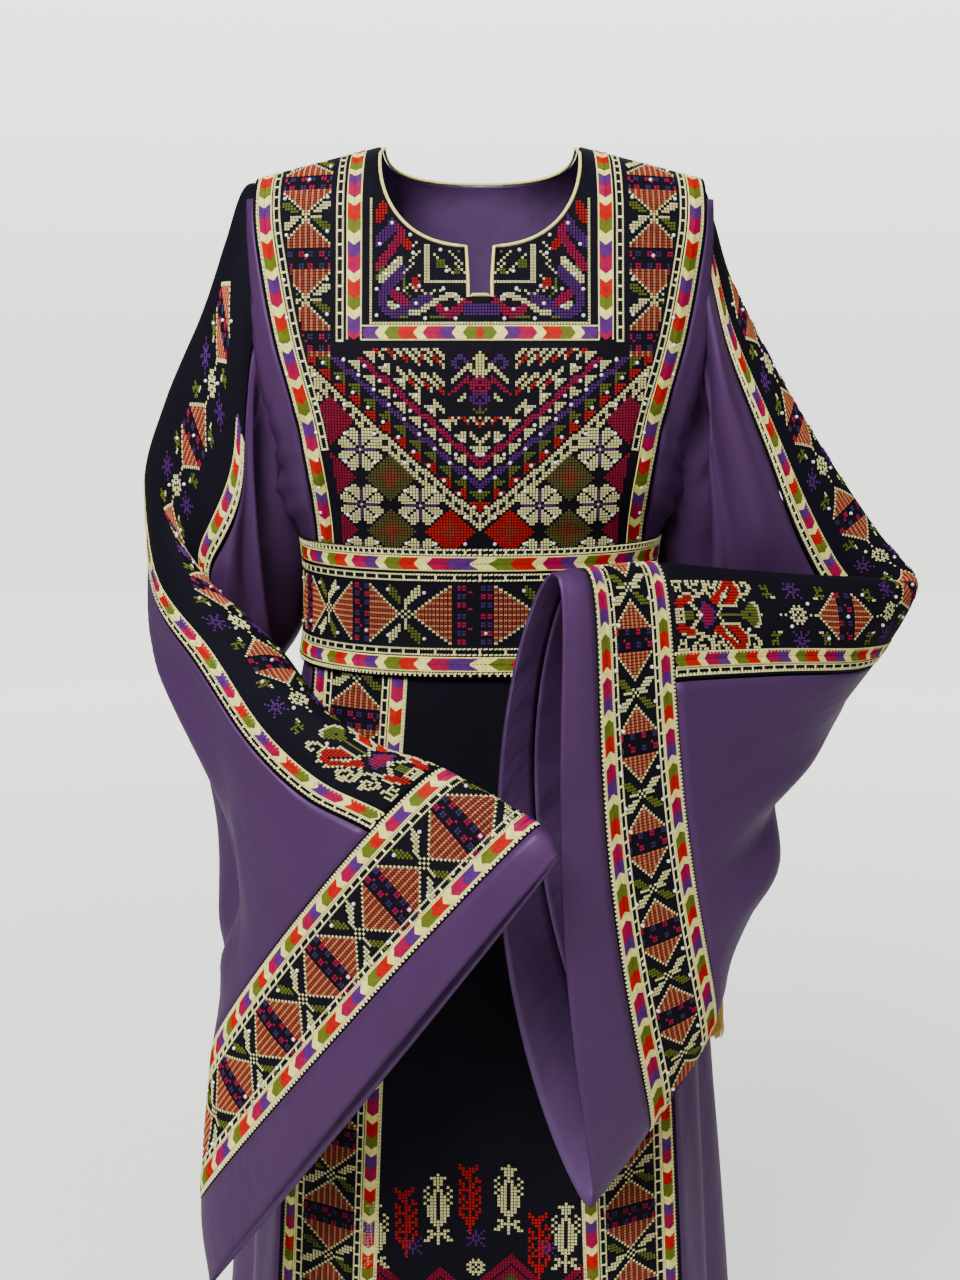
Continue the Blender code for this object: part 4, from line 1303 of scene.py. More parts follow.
def floss_group():
    """Shader group: the strands of embroidery floss and the uneven shade of its dye."""
    group, entry, leave = relief_group("floss", {"Strand Scale": 1500.0, "Unevenness": 0.3})
    where = node(group, "ShaderNodeTexCoord")
    strand = node(group, "ShaderNodeTexNoise", {"Detail": 1.0})
    patch = node(group, "ShaderNodeTexNoise", {"Scale": 240.0, "Detail": 1.0})
    link(
        group,
        (where, "Object", strand, "Vector"),
        (entry, "Strand Scale", strand, "Scale"),
        (strand, 0, leave, "Height"),
        (where, "Object", patch, "Vector"),
    )
    shade_by(group, patch, entry, leave)


def principled(name):
    """A new material, and its Principled shader."""
    material = bpy.data.materials.new(name)
    material.use_nodes = True
    return material, material.node_tree.nodes["Principled BSDF"]


def finish_of(
    name, colour, group_name, values, bump, distance, roughness,
    dark=0.55, light=1.45, specular=0.4, metal=0.0, sheen=0.0,
):
    """A Principled material whose colour and relief vary by one of the shader groups."""
    material, shader = principled(name)
    feed(shader, {"Roughness": roughness, "Sheen Weight": sheen, "Sheen Roughness": 0.35})
    feed(shader, {"Metallic": metal, "Specular IOR Level": specular})
    tree = material.node_tree
    effect = node(tree, "ShaderNodeGroup", values, node_tree=bpy.data.node_groups[group_name])
    shades = {"A": (*[c * dark for c in colour], 1), "B": (*[min(c * light, 1) for c in colour], 1)}
    mix = node(tree, "ShaderNodeMix", shades, data_type="RGBA")
    relief = node(tree, "ShaderNodeBump", {"Strength": bump, "Distance": distance})
    link(
        tree,
        (effect, "Shade", mix, "Factor"),
        (mix, "Result", shader, "Base Color"),
        (effect, "Height", relief, "Height"),
        (relief, 0, shader, "Normal"),
    )


def make_materials(colours):
    """All cloths, threads and crystals of the dress."""
    weave_group()
    floss_group()
    satin = {"Threads per Metre": 1600.0, "Unevenness": 0.55, "Slub": 0.6, "Crumple": 60.0}
    satin = ("weave", satin, 0.20, 0.0004)
    crepe = {"Threads per Metre": 1100.0, "Unevenness": 0.9, "Slub": 0.25, "Crumple": 6.0}
    crepe = ("weave", crepe, 0.35, 0.0006)
    finish_of("purple_satin_cloth", colours.satin, *satin, 0.47, 0.75, 1.25, specular=0.12, metal=0.32)
    # The inside's colour is lighter than the outside satin: painted light that brightens the shaded insides
    # of the sleeves, cuffs and neck
    finish_of("violet_satin_reverse", colours.reverse, *satin, 0.42, 0.75, 1.25, specular=0.2, metal=0.3)
    finish_of("navy_crepe_cloth", colours.crepe, *crepe, 0.80, 0.7, 1.3, specular=0.08)
    for _, name, colour in THREADS:
        finish_of(f"{name}_thread", colour, "floss", {"Unevenness": 0.8}, 0.25, 0.0003, 0.55, specular=0.1)
    gold = {"Unevenness": 1.2, "Strand Scale": 900.0}
    finish_of("gold_floss", colours.tassel, "floss", gold, 0.30, 0.0004, 0.40, sheen=0.25)
    crystal, shader = principled("crystal")
    feed(shader, {"Base Color": (0.90, 0.92, 0.96, 1), "Metallic": 0.35, "Specular IOR Level": 0.9})
    tree = crystal.node_tree
    place = node(tree, "ShaderNodeTexCoord")
    wear = node(tree, "ShaderNodeTexNoise", {"Scale": 300.0})
    ramp = node(tree, "ShaderNodeMapRange", {"To Min": 0.04, "To Max": 0.22})
    link(tree, (place, "Object", wear, "Vector"), (wear, 0, ramp, "Value"), (ramp, 0, shader, "Roughness"))


def levels(top, bottom, spacing):
    return np.linspace(top, bottom, max(3, int(round((top - bottom) / spacing)) + 1))


FRONT = {}


FRONT_SPAN = 0.408  # how far the front's field reaches across


def front_field():
    """The whole front, shoulder to hem, on even columns of x, and the height of each of its rows."""
    if not FRONT:
        spans = ((-0.003, -0.06, 0.002), (-0.064, -0.56, 0.004), (-0.57, HEM_Z, 0.012))
        heights = np.concatenate([levels(*span) for span in spans])
        columns = np.linspace(-FRONT_SPAN / 2, FRONT_SPAN / 2, 69)
        field = Field([[front_point(x, z) for x in columns] for z in heights], (0, 0, -0.7))
        field.width, field.heights = FRONT_SPAN, heights
        FRONT["field"] = field
    return FRONT["field"]


def row_at(z):
    """Distance down the front of a height."""
    field = front_field()
    return np.interp(-np.asarray(z, dtype=float), -field.heights, field.down)


def height_at(down):
    field = front_field()
    return np.interp(down, field.down, field.heights)


def panel_edge(z):
    return np.interp(z, EDGE_Z, EDGE_X)


EDGE_Z = np.linspace(-1.42, 0.02, 241)
EDGE_X = np.array([by_height(PANEL_EDGE, z)[0] for z in EDGE_Z])
NECK_LINE = np.array([front_top(share) for share in np.linspace(0, NECK_SHARE, 80)])


def on_front(down, across):
    """Whether places lie on the front's cloth, clear of the neck, the waist seam and the outer edge."""
    z = height_at(down)
    x = np.abs(across)
    neck = np.interp(x, NECK_LINE[:, 0], NECK_LINE[:, 1])
    shoulder = NECK_POINT_Z - SHOULDER_SLOPE * (x - NECK_HALF_WIDTH)
    top = np.where(x < NECK_HALF_WIDTH, neck, shoulder) - 0.003
    seam = np.abs(z - WAIST_SEAM_Z) < 0.002
    return (z < top) & (x < panel_edge(z) - 0.0015) & ~seam & (z > HEM_Z + 0.004)


def edge_path(top, bottom, inset, side, spacing=0.01):
    """A path down the front at a distance in from its outer edge."""
    z = levels(top, bottom, spacing)
    return np.stack((row_at(z), side * (panel_edge(z) - inset)), axis=1)


def straight_path(x, top, bottom):
    z = levels(top, bottom, 0.01)
    return np.stack((row_at(z), np.full(len(z), x)), axis=1)


def level_path(z, half):
    x = np.linspace(-half, half, 21)
    return np.stack((np.full(21, row_at(z)), x), axis=1)


FRAME_X = 0.1040
FRAME_Z = -0.1660
DIAMOND_X = 0.1440
CHEST_PITCH = 0.0025
CHEST_REPEAT = 28
DIAMOND_BLOCK_Z = -0.0400
V_APEX_Z = -0.3270

# Beads inside the frame: cells up from it, cells out
FRAME_BEADS = (
    (33, 29), (26, 33), (29, 23), (20, 28), (16, 31), (23, 22), (11, 34), (11, 27), (12, 20), (5, 27),
    (2, 34), (6, 21), (11, 12), (17, 11), (4, 11), (9, 8), (1, 8), (1, 18), (24, 13),
)


def breast_chart(rows, columns, apex_row, frame_row):
    """The chest's chart: bands inside the frame, nested arrows and a small tree below it, and a lattice."""
    chart = Chart(rows, columns)
    middle = columns // 2
    for letter, width, places in FRAME_BANDS:
        for side in (-1, 1):
            chart.stroke([(frame_row - 4 - up, middle + side * out) for up, out in places], letter, width)
    arrows = "RGVCMC"
    for r in range(frame_row + 5, rows):
        for c in range(-middle, middle + 1):
            away = abs(c)
            d = apex_row - int(round(0.92 * away)) - r
            fifth = (away + r // 5) % 5
            letter = "."
            if 0 <= d <= 1 or 4 <= d <= 5:
                letter = "C"
            elif 2 <= d <= 3:
                letter = "C" if away % 3 == 0 else "."
            elif 7 <= d < 31:
                name, k = arrows[(d - 7) // 4], (d - 7) % 4
                if name in "VM":
                    letter = name if k + (away % 5 > 2) < 3 else "."
                elif k + away % 5 <= 3:
                    letter = name
            elif d >= 31 and (away > 11 or r > frame_row + 27):
                block = ((d - 31) // 3 + away // 4) % 3
                letter = ("C", ".", "R" if fifth < 2 else "C")[block] if (d - 31) % 3 < 2 else "."
            chart.set(r, middle + c, letter)
    for i in range(0, 7):
        for j in range(0, 4):
            row = apex_row + 1 - 10 * i + 20 * j
            for side in (-1, 1):
                column = middle + side * (10 + 10 * i)
                if i % 2:
                    chart.centred(row, column, STAR)
                else:
                    lozenge(chart, row, column, "ROKK"[i // 2], "BBKM"[i // 2])
    chart.put(frame_row + 6, middle - 10, BREAST_TREE)
    return chart


def lozenge(chart, row, column, letter, heart):
    """A filled lozenge of the lattice, with its heart in a second colour."""
    for i in range(-8, 9):
        for j in range(-8 + abs(i), 9 - abs(i)):
            inner = abs(i) + abs(j) < 5 and (i == 0 or j == 0 or abs(i) == abs(j))
            chart.set(row + i, column + j, heart if inner else letter)


def chest_work():
    """Everything stitched on the chest panel."""
    field = front_field()
    work = Needlework(lambda down, across: on_front(down, across) & (height_at(down) > BELT_TOP_Z - 0.006))
    top = float(row_at(-0.012))
    rows = int((row_at(BELT_TOP_Z - 0.006) - top) / CHEST_PITCH)
    columns = 2 * int(0.2 / CHEST_PITCH) + 1
    middle = columns // 2
    edges = [float(panel_edge(height_at(top + r * CHEST_PITCH))) for r in range(rows)]

    def row_of(z):
        return int(round((float(row_at(z)) - top) / CHEST_PITCH))

    apex, frame, low = row_of(V_APEX_Z), row_of(FRAME_Z), row_of(-0.186)
    first = row_of(DIAMOND_BLOCK_Z) - 13
    chart = breast_chart(rows, columns, apex, frame)
    for side in (-1, 1):
        strip = Chart(rows, columns)
        column = middle + side * int(round(DIAMOND_X / CHEST_PITCH))
        diamond_column(strip, column, first - CHEST_REPEAT, 9, CHEST_REPEAT)
        for r in range(min(low, rows)):
            for c in range(columns):
                x = side * (c - middle) * CHEST_PITCH
                if FRAME_X + 0.0195 < x < edges[r] - 0.0290:
                    chart.cells[r, c] = strip.cells[r, c]
                elif x > FRAME_X - 0.008:
                    chart.cells[r, c] = -1
    for r, edge in enumerate(edges):
        for c in range(columns):
            if abs(c - middle) > (edge - 0.0270) / CHEST_PITCH:
                chart.cells[r, c] = -1
    work.crosses(field, chart.cells, top, -(middle + 0.5) * CHEST_PITCH, CHEST_PITCH)
    bottom_z = BELT_TOP_Z - 0.004
    for side in (-1, 1):
        work.chevrons(field, straight_path(side * FRAME_X, -0.004, FRAME_Z - 0.0050))
        work.ladder(field, straight_path(side * (FRAME_X + 0.0120), -0.004, FRAME_Z - 0.0065))
        work.chevrons(field, edge_path(-0.030, bottom_z, 0.0115, side), start=0.02)
        work.beading(field, edge_path(-0.030, bottom_z, 0.0040, side))
        work.picot(field, edge_path(-0.030, bottom_z, 0.0036, side), -side)
        work.ladder(field, edge_path(-0.030, -0.262, 0.0225, side))
    bottom = level_path(FRAME_Z, FRAME_X - 0.0062)
    for half in (bottom[10:], bottom[10::-1]):
        work.chevrons(field, half, start=0.041)
    spots = [(frame - 4 - up, out) for up, out in FRAME_BEADS]
    for d, shift in ((6, 2), (14, 0), (19, 3), (26, 1)):
        spots += [(apex - d - away, away) for away in range(shift, 70, 5) if apex - d - away > frame + 6]
    for i in range(8):
        for j in range(5):
            row, column = apex + 1 - 10 * i + 20 * j, 5 + 10 * i
            spots += [(row + 5, column), (row - 5, column)]
    spots = [(r, c) for r, c in spots if r > apex - 4 - c or r < frame or apex - 30 < r + c]
    around = ((-6, -7), (6, -7), (-6, 8), (7, 7), (14, 0))
    for n in range(-1, 4):
        tips = first + CHEST_REPEAT * (n - 0.05)
        spots += [(tips + r, DIAMOND_X / CHEST_PITCH + c) for r, c in around if tips + r < frame - 4]
    spots = np.array(spots, dtype=float) * CHEST_PITCH
    for side in (-1, 1):
        work.bead(field, top + spots[:, 0], side * spots[:, 1])
    return work


SKIRT_PITCH = 0.0026
SKIRT_REPEAT = 30
TREE_PITCH = 0.0030
# Trees on the skirt: place across, height of the top, kind
TREES = (
    (-0.096, -0.936, "cream"),
    (-0.067, -0.923, "red"),
    (-0.038, -0.911, "cream"),
    (-0.009, -0.901, "red"),
    (0.026, -0.899, "cream"),
    (0.054, -0.945, "red"),
    (0.078, -0.936, "cream"),
)


def skirt_work():
    """Bands down both sides of the skirt front, a row of trees, and large stepped diamonds under it."""
    field = front_field()
    work = Needlework(lambda down, across: on_front(down, across) & (height_at(down) < BELT_BOTTOM_Z + 0.004))
    low = HEM_Z + 0.004
    top = float(row_at(BELT_BOTTOM_Z + 0.004))
    rows = int((row_at(low) - top) / SKIRT_PITCH)
    for side in (-1, 1):
        chart = Chart(rows, 21)
        diamond_column(chart, 10, -26, 9, SKIRT_REPEAT)
        for r in range(rows):
            down = top + r * SKIRT_PITCH
            left = side * (panel_edge(height_at(down)) - 0.0435) - 10.5 * SKIRT_PITCH
            work.crosses(field, chart.cells[r : r + 1], down, left, SKIRT_PITCH)
        work.picot(field, edge_path(BELT_BOTTOM_Z, low, 0.0036, side), -side)
        work.chevrons(field, edge_path(BELT_BOTTOM_Z, low, 0.0090, side), 0.0040)
        work.ladder(field, edge_path(BELT_BOTTOM_Z, low, 0.0175, side))
        work.ladder(field, edge_path(BELT_BOTTOM_Z, low, 0.0695, side))
        work.chevrons(field, edge_path(BELT_BOTTOM_Z, low, 0.0800, side))
        work.beading(field, edge_path(BELT_BOTTOM_Z, low, 0.0876, side))
        work.picot(field, edge_path(BELT_BOTTOM_Z, low, 0.0880, side), side)
    for x, z, kind in TREES:
        art = RED_TREE if kind == "red" else CREAM_TREE
        chart = Chart(len(art), len(art[0]))
        chart.put(0, 0, art)
        work.crosses(field, chart.cells, float(row_at(z)), x - len(art[0]) * TREE_PITCH / 2, TREE_PITCH)
    chart = Chart(60, 84)
    for column, row in ((5, 34), (27, 36), (53, 30), (78, 34)):
        for size, letter in ((14, "K"), (10, "."), (9, "K"), (6, "O"), (3, "Y")):
            for i in range(-size, size + 1):
                reach = size - abs(i)
                for j in range(-reach, reach + 1):
                    if letter == "." and 0 <= column + j < 84:
                        chart.cells[row + i, column + j] = -1
                    chart.set(row + i, column + j, letter)
    for row, column in ((13, 17), (10, 40), (13, 66)):
        chart.centred(row, column, THISTLE)
    for row, column in ((22, 40), (50, 16), (50, 40), (50, 66)):
        chart.centred(row, column, RING)
    work.crosses(field, chart.cells, float(row_at(-0.948)), -42 * 0.0025, 0.0024, 0.0025)
    return work


def ring_path(field, down, backward=False):
    across = np.linspace(0, field.width, 80)
    return np.stack((np.full(80, down), across[::-1] if backward else across), axis=1)


def band_work(field, lines, field_from, field_to, backward):
    """A ring of embroidery: borders along it, and diamonds lying round it.

    Lines give each border's kind and its place down the band. Backward turns the arrows round.
    """
    work = Needlework()
    for kind, down in lines:
        path = ring_path(field, down, backward)
        if kind == "chevron":
            work.chevrons(field, path)
        elif kind == "ladder":
            work.ladder(field, path)
        elif kind == "close_ladder":
            work.ladder(field, path, 0.0056, 0.0022)
        else:
            work.beading(field, path)
            work.picot(field, ring_path(field, down), 1 if kind == "picot_up" else -1)
    repeats = max(3, int(round(field.width / BAND_REPEAT)))
    rows = repeats * BAND_REPEAT_ROWS
    columns = 2 * int((field_to - field_from) / BAND_PITCH / 2) + 1
    chart = Chart(2 * rows, columns)
    diamond_column(chart, columns // 2, 0, 10 if columns > 20 else 8, BAND_REPEAT_ROWS)
    across = (field_to + field_from - columns * BAND_PITCH) / 2
    square = field.squared()
    work.crosses(square, chart.cells[rows:].T, across, 0.0, BAND_PITCH, field.width / rows)
    stretch = field.width / repeats
    middle = (field_from + field_to) / 2
    offsets = ((-0.014, -0.021), (0.014, -0.019), (-0.014, 0.019), (0.014, 0.021), (-0.034, 0.016))
    for n in range(repeats):
        for along, aside in offsets:
            work.bead(square, middle + aside, stretch * 0.95 + n * stretch + along)
    return work


BAND_REPEAT = 0.0810
BAND_REPEAT_ROWS = 32
BAND_PITCH = 0.00245
PANEL_PITCH = 0.0025
PANEL_REPEAT = {"left": 40, "right": 42}
# Lines across the panel at the shoulder: place down, width, thread
SHOULDER_LINES = ((0.007, 0.008, "R"), (0.013, 0.0016, "C"), (0.016, 0.0016, "B"), (0.019, 0.0016, "C"))
# How far the motifs lie from the panel's middle, above and below the elbow, and where they change over
MOTIF_DRIFT = {"left": (0.020, -0.030, 0.30, 0.44), "right": (0.026, -0.035, 0.36, 0.50)}
# First place down the sleeve at which the panel's borders show out of the shoulder's fold
BORDERS_FROM = {"left": 0.108, "right": 0.022}
# How much wider the panel reaches round to the front above the elbow
PANEL_WIDENING = {"left": 0.066, "right": 0.0}


def panel_end_place(name, row):
    """Place round a sleeve at which its panel's front edge lies."""
    return PANEL_HALF_WIDTH + PANEL_WIDENING[name] * (1 - smooth_step((row - 2.7) / 2.2))


def sleeve_panel_work(field, name):
    """Borders along a sleeve panel, diamonds with rings between them, and a flower spray by the cuff."""
    work = Needlework()
    length = field.down[-1]
    half = field.width / 2
    front = 1 if field.points[:, -1, 1].mean() < field.points[:, 0, 1].mean() else -1

    def along(across):
        down = np.linspace(BORDERS_FROM[name], length - 0.001, 60)
        return np.stack((down, np.full(60, across)), axis=1)

    for side in (-1, 1):
        work.picot(field, along(side * (half - 0.0026)), -side)
        work.ladder(field, along(side * (half - 0.0060)))
        work.chevrons(field, along(side * (half - 0.0160)))
        work.picot(field, along(side * (half - 0.0222)), side)
        for down, wide, letter in SHOULDER_LINES:
            ends = (down, side * (half - 0.0225)), (down, side * (half - 0.0040))
            work.bars(field, *ends, wide, BORDER_HEIGHT, 0.0, LETTERS[letter])
    rows = int(length / PANEL_PITCH)
    above, below, elbow_from, elbow_to = MOTIF_DRIFT[name]
    middle = int((half - 0.0240 - abs(below)) / PANEL_PITCH) + 1
    chart = Chart(rows, 2 * middle + 1)
    spray_row = rows - 2
    for i, line in enumerate(SPRAY):
        for j, letter in enumerate(line):
            for side in (-1, 1):
                chart.set(spray_row - j, middle + side * i, letter)
    spots = []
    for row in range(spray_row - len(SPRAY[0]) - 46, 20, -PANEL_REPEAT[name]):
        low_tip = diamond(chart, row, middle, 8)
        ring = low_tip + 8
        chart.centred(ring, middle, RING)
        for k in (1, 3, 13, 15):
            chart.set(low_tip + k, middle, "C")
        for side in (-1, 1):
            chart.centred(ring, middle + side * 9, THISTLE)
            chart.centred(low_tip - 2, middle + side * 8, SPRIG, side > 0)
            chart.centred(low_tip + 18, middle + side * 8, SPRIG[::-1], side > 0)
        spots += [(row + 12, 0), (row + 4, 8), (row + 21, -8), (ring - 4, 4), (ring + 4, -4)]
    centres = []
    for r in range(rows):
        share = smooth_step((r * PANEL_PITCH - elbow_from) / (elbow_to - elbow_from))
        centres.append(front * (above + (below - above) * share))
    for r, centre in enumerate(centres):
        across = centre - (middle + 0.5) * PANEL_PITCH
        work.crosses(field, chart.cells[r : r + 1], r * PANEL_PITCH, across, PANEL_PITCH)
    for r, out in spots + [(spray_row - 10, 0), (spray_row - 22, 6), (spray_row - 30, -5)]:
        work.bead(field, r * PANEL_PITCH, centres[min(r, rows - 1)] + out * PANEL_PITCH)
    return work


def both_sides(columns):
    """Shares of the half width, mirrored to the other side."""
    right = [c for c in columns if c > 0]
    return [-c for c in reversed(right)] + [0.0] + right


def shares_to(count):
    return np.linspace(0, 1, count + 1)


def grid(surface, columns, rows):
    """Points of a surface at every column of every row."""
    return np.array([[surface(u, v) for u in columns] for v in rows])


def creased(surface, columns, rows):
    """Points of a surface of the front, with its creases."""
    flat = grid(surface, columns, rows)
    return np.array([[p + (0, -front_crease(p[0], p[2]), 0) for p in row] for row in flat])


def body_normals(points, facing):
    return np.array([[front_or_back_normal(p[0], p[2], facing) for p in row] for row in points])


def build_front():
    """Chest panel and skirt front."""
    between = {round(0.1 + 0.9 * k / 26, 4) for k in range(1, 26)} | {0.03}
    columns = both_sides(sorted(set(FRONT_COLUMNS) | between))
    rows = [0.0, 0.004, 0.012, 0.022, 0.035] + [0.05 + 0.95 * k / 56 for k in range(57)]
    points = creased(panel_surface(front_top, WAIST_SEAM_Z, -1), columns, rows)
    chest = cloth("chest_cloth", points, body_normals(points, -1), NAVY)
    put_away(chest, ["chest_panel"], "embroidered_navy")
    rows = [0.0] + [0.012 + 0.988 * k / 90 for k in range(91)]
    field = Field(creased(skirt_surface, np.linspace(-1, 1, 49), rows), (0, 0, -0.9))
    skirt = cloth("skirt_cloth", field.points, field.normals, NAVY)
    put_away(skirt, ["skirt_front"], "navy_crepe")
    threads = sew("chest", chest_work(), "embroidered_navy")
    threads = sew("skirt", skirt_work(), "embroidered_navy")


def build_back_and_sides():
    """Satin back and sides."""
    columns = both_sides(sorted(set(BACK_COLUMNS) | {round(k / 22, 4) for k in range(1, 22)}))
    rows = [0.0, 0.001, 0.003, 0.006, 0.010] + [0.015 + 0.985 * k / 120 for k in range(121)]
    points = grid(panel_surface(back_top, HEM_Z, 1), columns, rows)
    back = cloth("back_cloth", points, body_normals(points, 1), SATIN)
    put_away(back, ["back_panel", "skirt_back"], "purple_satin")
    for name, sign in (("right", 1), ("left", -1)):
        side_cloth(name, sign)


def side_cloth(name, sign):
    """A satin side, cut away round the armhole."""
    shares = np.linspace(0, 1, 33)
    field = Field(grid(side_surface(sign), shares, shares_to(150)), (0, 0, -0.75))
    z, u = field.points[:, :, 2], shares[None, :]
    bulge = 0.0130 * np.exp(-(((z + 0.296 + 0.02 * np.sin(9 * u)) / 0.026) ** 2))
    crumple = 0.0045 * np.sin(260 * z + 11 * u) * np.exp(-(((z + 0.29) / 0.055) ** 2))
    hang = 0.0060 * np.sin(22 * u + 3 * z) * np.clip((-0.5 - z) / 0.3, 0, 1)
    swell = 0.0130 * np.exp(-(((u - 0.16) / 0.14) ** 2) - ((z + 0.20) / 0.10) ** 2)
    ease = np.sin(math.pi * u) ** 0.75 * np.clip((-0.07 - z) / 0.05, 0, 1)
    field.push((bulge + crumple + hang + swell) * ease)
    side = cloth(f"side_cloth_{name}", field.points, field.normals, SATIN)
    solid = bmesh.new()
    around = np.linspace(0, 2 * math.pi, 96, endpoint=False)
    oval = [(ARMHOLE_HALF_THICKNESS * math.sin(a), ARMHOLE_HALF_HEIGHT * math.cos(a)) for a in around]
    inner, outer = (
        [solid.verts.new((sign * x, y, ARMHOLE_MIDDLE_Z + rise)) for y, rise in oval]
        for x in (ARMHOLE_INNER_X, ARMHOLE_OUTER_X)
    )
    skin(solid, inner, outer)
    solid.faces.new(inner)
    solid.faces.new(outer)
    guide = set_down("armhole_guide", mesh_from(solid, "armhole_guide"))
    cut = side.modifiers.new("armhole", "BOOLEAN")
    cut.operation, cut.solver, cut.object = "DIFFERENCE", "EXACT", guide
    side.data = evaluated_mesh(side, True)
    bpy.data.objects.remove(guide)
    put_away(side, [f"side_panel_{name}"], "purple_satin")


TURN_REACH = 0.0045  # how far a sleeve's head goes past the armhole's edge
TURN_DEPTH = 0.016  # and in under the body


def turned_in(field, name):
    """A sleeve's cloth with its head turned in under the body round the armhole."""
    head = field.points[0]
    out_y = head[:, 1] / ARMHOLE_HALF_THICKNESS**2
    out_z = (head[:, 2] - ARMHOLE_MIDDLE_Z) / ARMHOLE_HALF_HEIGHT**2
    out = np.stack((0 * out_y, out_y, out_z), axis=1)
    out /= np.linalg.norm(out, axis=1)[:, None]
    away = np.array((1.0 if name == "right" else -1.0, 0, 0))
    near_top = np.clip((head[:, 2:] + 0.09) / 0.03, 0, 1)
    reach = TURN_REACH * (1 + np.sqrt(np.abs(out[:, 1:2])) * near_top)
    points = np.concatenate([[head + reach * out - TURN_DEPTH * away], field.points])
    return points, np.concatenate([[0.94 * out + 0.35 * away], field.normals])


def sleeve_fold_heights(name, rows, ends, girths, columns):
    """How far the folds move each point of a sleeve's satin out."""
    heights = np.zeros((len(rows), columns))
    for i, r in enumerate(rows):
        places = np.linspace(ends[i], girths[i] - PANEL_HALF_WIDTH, columns)
        for row, place, span, width, height, drift in SLEEVE_FOLDS[name]:
            centre = place + drift * (r - row)
            gap = (places - centre + girths[i] / 2) % girths[i] - girths[i] / 2
            fade = math.exp(-(((r - row) / span) ** 2) * 1.6)
            fade = fade * smooth_step((r - 0.4) / 1.2) * smooth_step((rows[-1] - r) / 0.8)
            heights[i] += height * fade * np.exp(-((gap / width) ** 2))
    edge = np.minimum(np.linspace(0, 1, columns), np.linspace(1, 0, columns))
    return heights * np.clip(edge / 0.05, 0, 1)


def sleeve_ring(name, part, start_row, end_row, shape, materials, slot_name):
    """A whole ring of a sleeve at the cuff: its field, its cloth, and its flat size."""
    surface = sleeve_ring_surface(name, start_row, end_row)
    points = grid(surface, np.linspace(0, 1, shape[0]), shares_to(shape[1]))
    field = Field(points, sleeve_loop(name, start_row + 0.5).middle, ring=True)
    ring = cloth(f"cuff_{part}_cloth_{name}", field.points, field.normals, materials, ring=True)
    put_away(ring, [f"cuff_{part}_{name}_{half}" for half in ("front", "back")], slot_name)
    return field, ring, (round(float(field.width), 3), round(float(field.down[-1]), 3))


def build_sleeve(name):
    """Panel, satin, band and edge of one sleeve, with their embroidery."""
    cuff_row = len(SLEEVES[name]) - 1
    band_row, edge_row = cuff_row - BAND_ROWS, cuff_row - EDGE_ROWS
    panel_end = band_row - ROW_GAP
    middle = sleeve_loop(name, panel_end / 2).middle
    rows = shares_to(88) * panel_end
    loops = [sleeve_loop(name, r) for r in rows]
    ends = np.array([panel_end_place(name, r) for r in rows])
    girths = np.array([loop.girth for loop in loops])

    def between(starts, stops, columns):
        points = []
        for loop, start, stop in zip(loops, starts, stops):
            points.append([loop.at(start + (stop - start) * u) for u in np.linspace(0, 1, columns)])
        return Field(points, middle)

    field = between(np.full(len(rows), -PANEL_HALF_WIDTH), ends, 29)
    panel = cloth(f"sleeve_panel_cloth_{name}", *turned_in(field, name), NAVY_LINED)
    put_away(panel, [f"sleeve_panel_{name}"], "embroidered_navy")
    threads = sew(f"sleeve_panel_{name}", sleeve_panel_work(field, name), "embroidered_navy")
    area = float(((ends[1:] + PANEL_HALF_WIDTH) * np.diff(field.down)).sum())
    size = (round(float(ends.max()) + PANEL_HALF_WIDTH, 3), round(float(field.down[-1]) * 1.02, 3))

    columns = 73
    field = between(ends + PANEL_SEAM, girths - PANEL_HALF_WIDTH - PANEL_SEAM, columns)
    field.push(sleeve_fold_heights(name, rows, ends, girths, columns))
    satin = cloth(f"sleeve_satin_cloth_{name}", *turned_in(field, name), SATIN)
    put_away(satin, [f"sleeve_satin_{part}_{name}" for part in ("upper", "lower")], "purple_satin")
    area = float(((girths[:-1] - 2 * PANEL_HALF_WIDTH) * np.diff(field.down)).sum())
    size = (round(float(girths.max() - 2 * PANEL_HALF_WIDTH), 3), round(float(field.down[-1]), 3))

    ring_rows = (band_row, edge_row - ROW_GAP)
    field, band, size = sleeve_ring(name, "band", *ring_rows, (161, 12), NAVY_LINED, "embroidered_navy")
    depth = float(field.down[-1])
    lines = (
        ("picot_up", 0.0036),
        ("chevron", 0.0105),
        ("ladder", 0.0205),
        ("ladder", depth - 0.0205),
        ("chevron", depth - 0.0105),
        ("picot_down", depth - 0.0036),
    )
    work = band_work(field, lines, 0.0240, depth - 0.0240, name == "left")
    sew(f"cuff_band_{name}", work, "embroidered_navy")
    _, edge, size = sleeve_ring(name, "edge", edge_row, cuff_row, (129, 8), SATIN, "purple_satin")


def build_belt():
    """Belt with its bands of embroidery."""
    field = Field(grid(belt_surface, np.linspace(0, 1, 161), shares_to(14)), (0, 0, -0.4), ring=True)
    belt = cloth("belt_cloth", field.points, field.normals, NAVY, thickness=BELT_WALL, ring=True)
    put_away(belt, ["belt"], "embroidered_navy")
    lines = (
        ("close_ladder", 0.0030),
        ("chevron", 0.0131),
        ("ladder", 0.0252),
        ("ladder", 0.0896),
        ("chevron", 0.1003),
        ("picot_down", 0.1083),
    )
    threads = sew("belt", band_work(field, lines, 0.0300, 0.0850, True), "embroidered_navy")


TUBE_SIDES = 8


